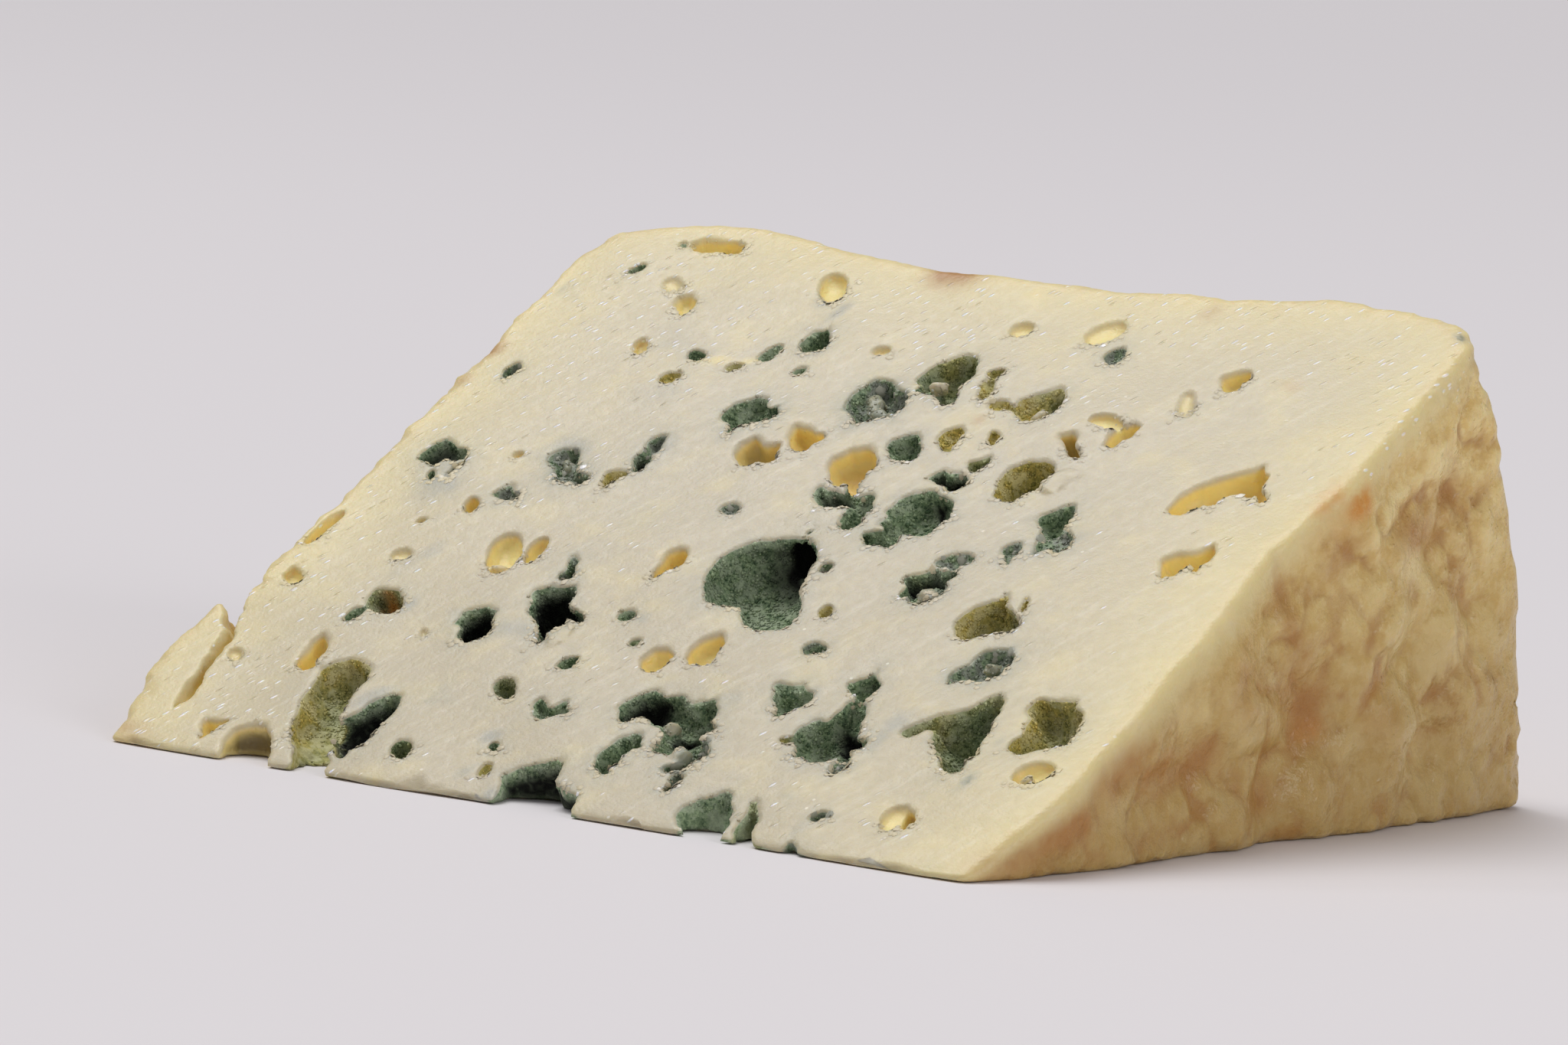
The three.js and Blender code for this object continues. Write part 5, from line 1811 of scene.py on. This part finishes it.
@dataclass(frozen=True)
class PasteFinish:
    """Cut curd: moist, dense ivory paste, with felted mould in its holes and a pressed, damp rind.

    The paste is fat and water in a fine milk curd, so light goes a little way in, and the knife
    left it smooth and wet, with short ripples whose bright glints are painted on as white dashes.
    Mould is a dry felt of spores: dull, dusty and grey-green, and it shows grey through the thin
    paste round a hole. The walls of a bare hole are buttery, because light reaches them through
    the paste, and deeper down they turn to honey and brown as painted shade. Mould linings are
    painted towards black deeper down, and paste and rind darker towards the foot, as painted
    shade; the paste is painted creamier and lighter near the rind, partly for the light there.
    The rind is brined and damp, with painted highlights on its ridges.
    """

    ivory: str = "#d2c8af"
    # painted shade: the paste's colour towards the foot
    ivory_foot_shade: str = "#c3b799"
    cream: str = "#eddda3"
    milk: str = "#f2ecd9"
    butter: str = "#fae598"
    # painted shade: the darker honey of a bare hole's wall deeper down
    honey_shade: str = "#e3b857"
    haze: str = "#adaca0"
    rim: str = "#6f7a64"
    halo: str = "#a5a899"
    green_dark: str = "#587052"
    green: str = "#aabd94"
    green_dust: str = "#d0dabe"
    olive_dark: str = "#a59c50"
    olive: str = "#e0c76a"
    olive_dust: str = "#d8cb8e"
    grey: str = "#7b7d76"
    # painted shade: the brown of the deepest bare walls
    shade: str = "#4a3312"
    # painted shade: the near-black that deep mould linings are darkened to
    shade_black: str = "#0a0d06"
    rind: str = "#e0c078"
    rind_brown: str = "#b07b3c"
    # painted shade: the rind's colour towards the foot
    rind_foot_shade: str = "#ac8b4e"
    # pale rind mottle, and the painted highlight on the rind's ridges
    rind_pale_and_highlight: str = "#f7e3a6"
    rust: str = "#d89a4c"
    # painted highlight: the white of the glints painted on the paste
    glint: str = "#ffffff"
    roughness: float = 0.42
    wet_roughness: float = 0.12
    mould_roughness: float = 0.95
    rind_roughness: float = 0.3
    index: float = 1.46
    glow: float = 0.55
    glow_colour: tuple = (1.0, 0.75, 0.4)
    glow_reach: float = 1.6 * MM
    bump_height: float = 0.25 * MM
    bump_strength: float = 0.6

    MASKS = (
        "mould", "olive", "dark", "bare", "grey", "rust", "deep", "sunk", "halo", "haze", "pink", "pale",
        "amber", "rind", "near_rind", "wet", "lip", "hollow", "low", "tone", "body",
    )  # fmt: skip

    def patterns(self) -> tuple:
        """The noises and cells, each with its real size in millimetres, and the drawn coordinates.

        Returns:
            Rows for make.
        """
        rows = [
            ("place", Kind.PLACE, {}),
            ("drag", Kind.ATTRIBUTE, {}),
            ("drawn_place", Kind.MAPPING, {"Vector": "drag:Vector", "Scale": (0.12, 1.0, 0.5)}),
            ("ripple_place", Kind.MAPPING, {"Vector": "drag:Vector", "Scale": (0.36, 1.0, 1.0)}),
        ]
        for name, where, size, detail, share in (
            ("mottle", "place:Object", 6.0 * MM, 3.0, 0.55),
            ("patch", "place:Object", 1.6 * MM, 3.0, 0.6),
            ("grain", "place:Object", 0.4 * MM, 2.0, 0.55),
            ("felt", "place:Object", 0.42 * MM, 3.0, 0.7),
            ("blotch", "place:Object", 8.0 * MM, 4.0, 0.6),
            ("wrinkle", "place:Object", 2.2 * MM, 4.0, 0.6),
            ("damp", "place:Object", 1.1 * MM, 3.0, 0.55),
            ("drawn", "drawn_place", 1.3, 4.0, 0.6),
        ):
            sockets = {"Vector": where, "Scale": 1 / size, "Detail": detail, "Roughness": share}
            rows.append((name, Kind.NOISE, sockets))
        rows += [
            ("ripple", Kind.CELLS, {"Vector": "ripple_place", "Scale": 1 / 0.6}),
            ("ripple_pick", Kind.CHANNELS, {0: "ripple:Color"}),
            ("fleck", Kind.CELLS, {"Vector": "place:Object", "Scale": 1 / (2.6 * MM)}),
            ("fleck_pick", Kind.CHANNELS, {0: "fleck:Color"}),
        ]
        return tuple(rows)

    def factors(self) -> tuple:
        """How strongly each layer shows: its mask, broken up by the patterns.

        Returns:
            Rows for make: ramps, weighted sums of two and products of two.
        """
        ramps = (
            ("cream_patch", "mottle", 0.45, 0.75, 0.35),
            ("patchy", "patch", 0.15, 0.6, 1.0),
            ("patchy_hard", "patch", 0.42, 0.58, 1.0),
            ("milk_streak", "drawn", 0.5, 0.75, 0.22),
            ("bare_lit", "sunk", 0.0, 0.16, 1.0),
            # painted shade: how far a bare wall has turned to honey, deeper down
            ("bare_depth_shade", "sunk", 0.3, 0.75, 0.9),
            ("rim_of_halo", "halo", 0.45, 1.0, 0.75),
            ("mould_edge", "mould", 0.0, 0.12, 1.0),
            ("low_wall", "sunk", 0.2, 0.7, 0.48),
            # painted shade grows with depth under the cut
            ("depth_shade_ramp", "sunk", 0.04, 0.36, 1.0),
            ("brown_blotch", "blotch", 0.48, 0.66, 0.7),
            ("light_blotch", "wrinkle", 0.5, 0.72, 0.6),
            ("ripple_dome", "ripple:Distance", 0.42, 0.0, 1.0),
            # painted highlight: the bright core of a ripple
            ("painted_glint_core", "ripple:Distance", 0.36, 0.16, 1.0),
            ("crust_hollow", "hollow", 0.54, 0.82, 0.62),
            # painted highlight: the rind's ridges are lightened
            ("crust_ridge_highlight", "hollow", 0.46, 0.2, 0.75),
            # how bright each painted glint is
            ("painted_glint_faint", "ripple_pick:Green", 0.0, 0.9, 1.0),
            ("fleck_dot", "fleck:Distance", 0.09, 0.05, 1.0),
            ("fleck_rare", "fleck_pick:Red", 0.86, 0.88, 0.7),
        )
        rows = [
            (name, Kind.RAMP, {"Value": value, "From Min": low, "From Max": high, "To Max": top})
            for name, value, low, high, top in ramps
        ]
        sums = (
            ("dust", "felt", 0.62, ("tone", 0.38), 0.36, 0.66),
            ("olive_mix", "mottle", 1.1, ("olive", 1.0), 0.9, 1.75),
            ("mould_mix", "patch", 0.3, ("mould", 1.0), 0.35, 0.7),
            ("ripple_here", "wet", 0.8, ("ripple_pick:Red", 1.0), 1.22, 1.3),
        )
        for name, one, share, (other, weight), low, high in sums:
            rows += [
                (name + "_part", Kind.TIMES, {0: other, 1: weight}),
                (name + "_sum", Kind.TIMES_PLUS, {0: one, 1: share, 2: name + "_part"}),
                (name, Kind.RAMP, {"Value": name + "_sum", "From Min": low, "From Max": high}),
            ]
        products = (
            ("ripple_on", "ripple_dome", "ripple_here"),
            # painted shade towards the foot
            ("foot_shade_on", "low", 0.66),
            ("paste_foot_shade_on", "low", 0.74),
            ("speckle_on", "patchy_hard", 0.4),
            # partly painted light: the paste is lighter near the rind, as well as creamier
            ("cream_and_light_near_rind", "near_rind", 0.9),
            ("haze_on", "haze", 0.75),
            ("halo_on", "halo", "patchy"),
            ("bare_on", "bare", "bare_lit"),
            # painted shade, deeper in a hole
            ("depth_shade_on", "dark", "depth_shade_ramp"),
            ("grey_on", "grey", "patchy_hard"),
            ("rust_on", "rust", "patchy"),
            ("brown_on", "pink", 0.9),
            # painted highlight: where the white glints are painted
            ("painted_glint_some", "painted_glint_core", "ripple_here"),
            ("painted_glint_on", "painted_glint_some", "painted_glint_faint"),
            ("pale_on", "pale", 0.75),
            ("amber_on", "amber", 0.6),
            ("mould_on", "mould_mix", "mould_edge"),
            ("fleck_on", "fleck_dot", "fleck_rare"),
        )
        rows += [(name, Kind.TIMES, {0: one, 1: other}) for name, one, other in products]
        return tuple(rows)

    def colours(self) -> tuple:
        """The colours laid over each other, each by its factor.

        Returns:
            Rows for make.
        """
        layers = (
            ("greens", "dust", self.green_dark, self.green),
            ("greens_dusty", "patchy_hard", "greens", self.green_dust),
            ("green_wall", 0.4, "greens", "greens_dusty"),
            ("olives", "dust", self.olive_dark, self.olive),
            ("olive_wall", "patchy_hard", "olives", self.olive_dust),
            ("olive_low", "low_wall", "olive_wall", "green_wall"),
            ("lining_green", "olive_mix", "green_wall", "olive_low"),
            # painted shade: the lining goes towards black deeper in a hole
            ("lining_shaded", "depth_shade_on", "lining_green", self.shade_black),
            ("lining", "grey_on", "lining_shaded", self.grey),
            # painted shade: butter at the mouth, honey deeper down
            ("buttery_depth_shaded", "bare_depth_shade", self.butter, self.honey_shade),
            # painted shade: deep bare walls go towards brown
            ("buttery", "depth_shade_on", "buttery_depth_shaded", self.shade),
            ("crust_brown", "brown_blotch", self.rind, self.rind_brown),
            ("crust_light", "light_blotch", "crust_brown", self.rind_pale_and_highlight),
            ("crust_speckled", "speckle_on", "crust_light", self.rind_pale_and_highlight),
            # painted highlight on the rind's ridges
            ("crust_ridge_highlighted", "crust_ridge_highlight", "crust_speckled", self.rind_pale_and_highlight),
            # painted shade: the rind darkens towards the foot
            ("crust_foot_shaded", "foot_shade_on", "crust_ridge_highlighted", self.rind_foot_shade),
            ("crust", "crust_hollow", "crust_foot_shaded", self.rind_brown),
            # painted shade: the paste darkens towards the foot
            ("paste_foot_shaded", "paste_foot_shade_on", self.ivory, self.ivory_foot_shade),
            # creamier paste near the rind, and partly painted light there
            ("paste_cream_and_light", "cream_and_light_near_rind", "paste_foot_shaded", self.cream),
            ("paste_mottled", "cream_patch", "paste_cream_and_light", self.cream),
            ("paste_milky", "milk_streak", "paste_mottled", self.milk),
            ("paste_haze", "haze_on", "paste_milky", self.haze),
            ("paste_halo", "halo_on", "paste_haze", self.halo),
            ("paste_rim", "rim_of_halo", "paste_halo", self.rim),
            ("paste_amber", "amber_on", "paste_rim", self.butter),
            ("paste_fleck", "fleck_on", "paste_amber", self.milk),
            # painted highlight: white glints painted on the paste
            ("paste_painted_glint", "painted_glint_on", "paste_fleck", self.glint),
            ("paste_bare", "bare_on", "paste_painted_glint", "buttery"),
            ("paste_mould", "mould_on", "paste_bare", "lining"),
            ("paste_crust", "rind", "paste_mould", "crust"),
            ("paste_brown", "brown_on", "paste_crust", self.rind_brown),
            ("paste_pale", "pale_on", "paste_brown", self.rind_pale_and_highlight),
            ("colour", "rust_on", "paste_pale", self.rust),
        )
        return tuple((name, Kind.BLEND, {0: by, 6: under, 7: over}) for name, by, under, over in layers)

    def surface(self) -> tuple:
        """Roughness, relief and the shader itself.

        Returns:
            Rows for make.
        """
        return (
            ("damp_rough", Kind.TIMES_PLUS, {0: "damp", 1: 0.3, 2: self.roughness - 0.15}),
            ("rind_rough", Kind.MIX, {0: "rind", 2: "damp_rough", 3: self.rind_roughness}),
            ("ripple_rough", Kind.MIX, {0: "ripple_on", 2: "rind_rough", 3: self.wet_roughness}),
            ("dull_rough", Kind.MIX, {0: "mould_on", 2: "ripple_rough", 3: self.mould_roughness}),
            ("rough", Kind.MIX, {0: "grey", 2: "dull_rough", 3: self.wet_roughness}),
            ("clear", Kind.TIMES_PLUS, {0: "mould_on", 1: -0.92, 2: 1.0}),
            ("glow_body", Kind.TIMES, {0: "clear", 1: "body"}),
            ("glow", Kind.TIMES, {0: "glow_body", 1: self.glow}),
            ("curd", Kind.TIMES_PLUS, {0: "grain", 1: 0.3, 2: 0.0}),
            ("curd_damp", Kind.TIMES_PLUS, {0: "damp", 1: 0.38, 2: "curd"}),
            ("curd_drawn", Kind.TIMES_PLUS, {0: "drawn", 1: 0.32, 2: "curd_damp"}),
            ("folded", Kind.TIMES, {0: "wrinkle", 1: "rind"}),
            ("skin", Kind.TIMES_PLUS, {0: "folded", 1: 3.0, 2: "curd_drawn"}),
            ("rippled", Kind.TIMES, {0: "ripple_on", 1: "clear"}),
            ("skin_wet", Kind.TIMES_PLUS, {0: "rippled", 1: 0.6, 2: "skin"}),
            ("fuzz", Kind.TIMES, {0: "felt", 1: "mould_on"}),
            ("relief", Kind.TIMES_PLUS, {0: "fuzz", 1: 1.4, 2: "skin_wet"}),
            ("normal", Kind.BUMP, {
                "Height": "relief", "Strength": self.bump_strength, "Distance": self.bump_height,
            }),
            ("shader", Kind.SHADER, {
                "Base Color": "colour", "Roughness": "rough", "Normal": "normal", "IOR": self.index,
                "Subsurface Weight": "glow", "Subsurface Radius": self.glow_colour,
                "Subsurface Scale": self.glow_reach,
            }),
            ("output", Kind.OUTPUT, {"Surface": "shader"}),
        )  # fmt: skip

    def make(self) -> bpy.types.Material:
        """Builds the material that the whole cheese wears.

        A row is a node: its name, kind and sockets. A word in a socket names an earlier row, with
        the output after a colon if it isn't the first, and a hex colour is turned to linear.

        Returns:
            The material. It reads the masks that CheeseBody writes.
        """
        material = bpy.data.materials.new("cheese_paste_and_rind")
        material.use_nodes = True
        tree = material.node_tree
        tree.nodes.clear()
        made = {}
        rows = tuple((name, Kind.ATTRIBUTE, {}) for name in self.MASKS)
        rows += self.patterns() + self.factors() + self.colours() + self.surface()
        for name, kind, wanted in rows:
            sockets = {}
            for socket, value in wanted.items():
                if isinstance(value, str) and value.startswith("#"):
                    value = linear(value)
                elif isinstance(value, str):
                    source, _, output = value.partition(":")
                    value = made[source].outputs[output] if output else made[source]
                sockets[socket] = value
            node_type, settings = kind.value
            made[name] = add_node(tree, node_type, sockets, **dict(settings))
            if kind is Kind.ATTRIBUTE:
                made[name].attribute_name = "drag_mm" if name == "drag" else name
                made[name] = made[name] if name == "drag" else made[name].outputs["Fac"]
        return material


@dataclass(frozen=True)
class FloorFinish:
    """A plain pale matt table: smooth painted board."""

    colour: str = "#e4e0e2"
    roughness: float = 0.7

    def make(self) -> bpy.types.Material:
        """Builds the floor's material.

        Returns:
            The material.
        """
        material = bpy.data.materials.new("pale_floor")
        material.use_nodes = True
        tree = material.node_tree
        tree.nodes.clear()
        sockets = {"Base Color": linear(self.colour), "Roughness": self.roughness}
        shader = add_node(tree, "ShaderNodeBsdfPrincipled", sockets)
        add_node(tree, "ShaderNodeOutputMaterial", {"Surface": shader})
        return material


# ---- studio -------------------------------------------------------------------------------------


class LampKind(Enum):
    """The kinds of light, each with the setting that holds its width."""

    AREA = "size"
    SUN = "angle"


@dataclass(frozen=True)
class Lamp:
    """A soft light: its place in metres, width, power, and the height over the origin it faces."""

    name: str
    kind: LampKind
    place: tuple
    width: float
    power: float
    faces: float = 0.02

    def add(self) -> None:
        """Puts the light in the scene and turns it to what it faces."""
        data = bpy.data.lights.new(self.name, self.kind.name)
        setattr(data, self.kind.value, self.width)
        data.energy = self.power
        light = bpy.data.objects.new(self.name, data)
        bpy.context.scene.collection.objects.link(light)
        place = Vector(self.place)
        aim = (Vector((0.0, 0.0, self.faces)) - place).to_track_quat("-Z", "Y")
        light.matrix_world = Matrix.Translation(place) @ aim.to_matrix().to_4x4()


@dataclass(frozen=True)
class Studio:
    """The camera at the photograph's angle, a pale floor and soft lights."""

    azimuth: float = 36.92
    elevation: float = 6.41
    roll: float = 2.93
    lens_mm: float = 180.0
    sensor_mm: float = 36.0
    nearest: float = 0.01
    farthest: float = 50.0
    distance: float = 0.819
    target_mm: tuple = (-2.70, 42.75, 26.74)
    floor_side: float = 6.0
    world_colour: str = "#dbd8dc"
    world_strength: float = 0.39
    lamps: tuple = (
        Lamp("overhead", LampKind.SUN, (-0.5, 0.05, 1.5), math.radians(40.0), 1.75, 0.0),
        Lamp("glint", LampKind.AREA, (-0.78, 0.30, 1.0), 0.12, 0.9),
        Lamp("side", LampKind.AREA, (1.3, -0.2, 0.6), 0.6, 4.3),
    )

    def place_camera(self, form: WedgeForm) -> None:
        """Puts the camera where the photograph was taken from, turned by its slight roll.

        Args:
            form: the wedge's form, whose middle the frame is set on.
        """
        a, e, r = (math.radians(v) for v in (self.azimuth, self.elevation, self.roll))
        forward = Vector((-math.sin(a) * math.cos(e), math.cos(a) * math.cos(e), -math.sin(e)))
        level = Vector((math.cos(a), math.sin(a), 0.0))
        upright = level.cross(forward)
        right = level * math.cos(r) + upright * math.sin(r)
        up = upright * math.cos(r) - level * math.sin(r)
        x, y, z = self.target_mm
        target = Vector((x - form.middle_x, y - form.middle_y, z)) * MM
        data = bpy.data.cameras.new("camera")
        data.lens = self.lens_mm
        data.sensor_width = self.sensor_mm
        data.clip_start, data.clip_end = self.nearest, self.farthest
        camera = bpy.data.objects.new("camera", data)
        bpy.context.scene.collection.objects.link(camera)
        turn = Matrix((right, up, -forward)).transposed().to_4x4()
        camera.matrix_world = Matrix.Translation(target - forward * self.distance) @ turn
        bpy.context.scene.camera = camera

    def build(self, form: WedgeForm) -> None:
        """Makes the camera, floor, lights and surroundings.

        Args:
            form: the wedge's form.
        """
        self.place_camera(form)
        half = self.floor_side / 2
        corners = np.array([[-half, -half, 0], [half, -half, 0], [half, half, 0], [-half, half, 0]]) / MM
        floor = mesh_object("floor", corners, np.array([[0, 1, 2, 3]]))
        floor.data.materials.append(FloorFinish().make())
        for lamp in self.lamps:
            lamp.add()
        world = bpy.data.worlds.new("surroundings")
        world.use_nodes = True
        background = world.node_tree.nodes["Background"]
        background.inputs["Color"].default_value = linear(self.world_colour)
        background.inputs["Strength"].default_value = self.world_strength
        bpy.context.scene.world = world
        bpy.context.scene.view_settings.view_transform = "Standard"


def main() -> None:
    """Builds the cheese and its surroundings."""
    logging.basicConfig(level=logging.INFO, format="%(name)s: %(message)s")
    body = CheeseBody()
    cheese = body.build()
    cheese.data.materials.append(PasteFinish().make())
    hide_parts(NODE)
    found = body.found
    below = smooth_step(3.0, 1.5, body.form.section(body.points[:, 1], body.points[:, 2])[1])
    felt = found["mould"] * (1.0 - 0.85 * found["dark"] * found["deep"]) * (1.0 - below)
    on_cut = (body.points[:, 2] > -1.2) * (1.0 - below)
    clean = tuple((name, 0.0) for name in ("mould", "dark", "bare", "grey", "rind"))
    plain = clean + (("halo", 0.0), ("haze", 0.0))
    wet = clean + (("haze", 1.0), ("halo", 0.6), ("wet", 1.0))
    tufts = Scatter(
        "mould_tufts", many=22000, least=0.12, most=0.27, squash=0.6, lift=0.25, seed=5
    ).build(body, felt)
    crumbs = Scatter(
        "curd_crumbs", many=5000, least=0.12, most=0.42, squash=0.4, lift=0.1, seed=6,
        sides=5, lean=0.7, fixed=plain,
    ).build(body, on_cut * found["lip"])  # fmt: skip
    beads = Scatter(
        "whey_beads", many=110, least=0.25, most=0.7, squash=0.5, lift=-0.2, seed=7,
        sides=8, rings=3, lean=0.5, fixed=wet,
    ).build(body, found["grey"] * (1.0 - below))  # fmt: skip
    for piece in (tufts, crumbs, beads):
        piece.data.materials.append(cheese.data.materials[0])
    for piece, slot in ((cheese, "paste"), (tufts, "mould"), (crumbs, "crumb"), (beads, "crumb")):
        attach(piece, BODY)
        log.info("piece %s", piece.name)
    Studio().build(body.form)


if __name__ == "__main__":
    main()
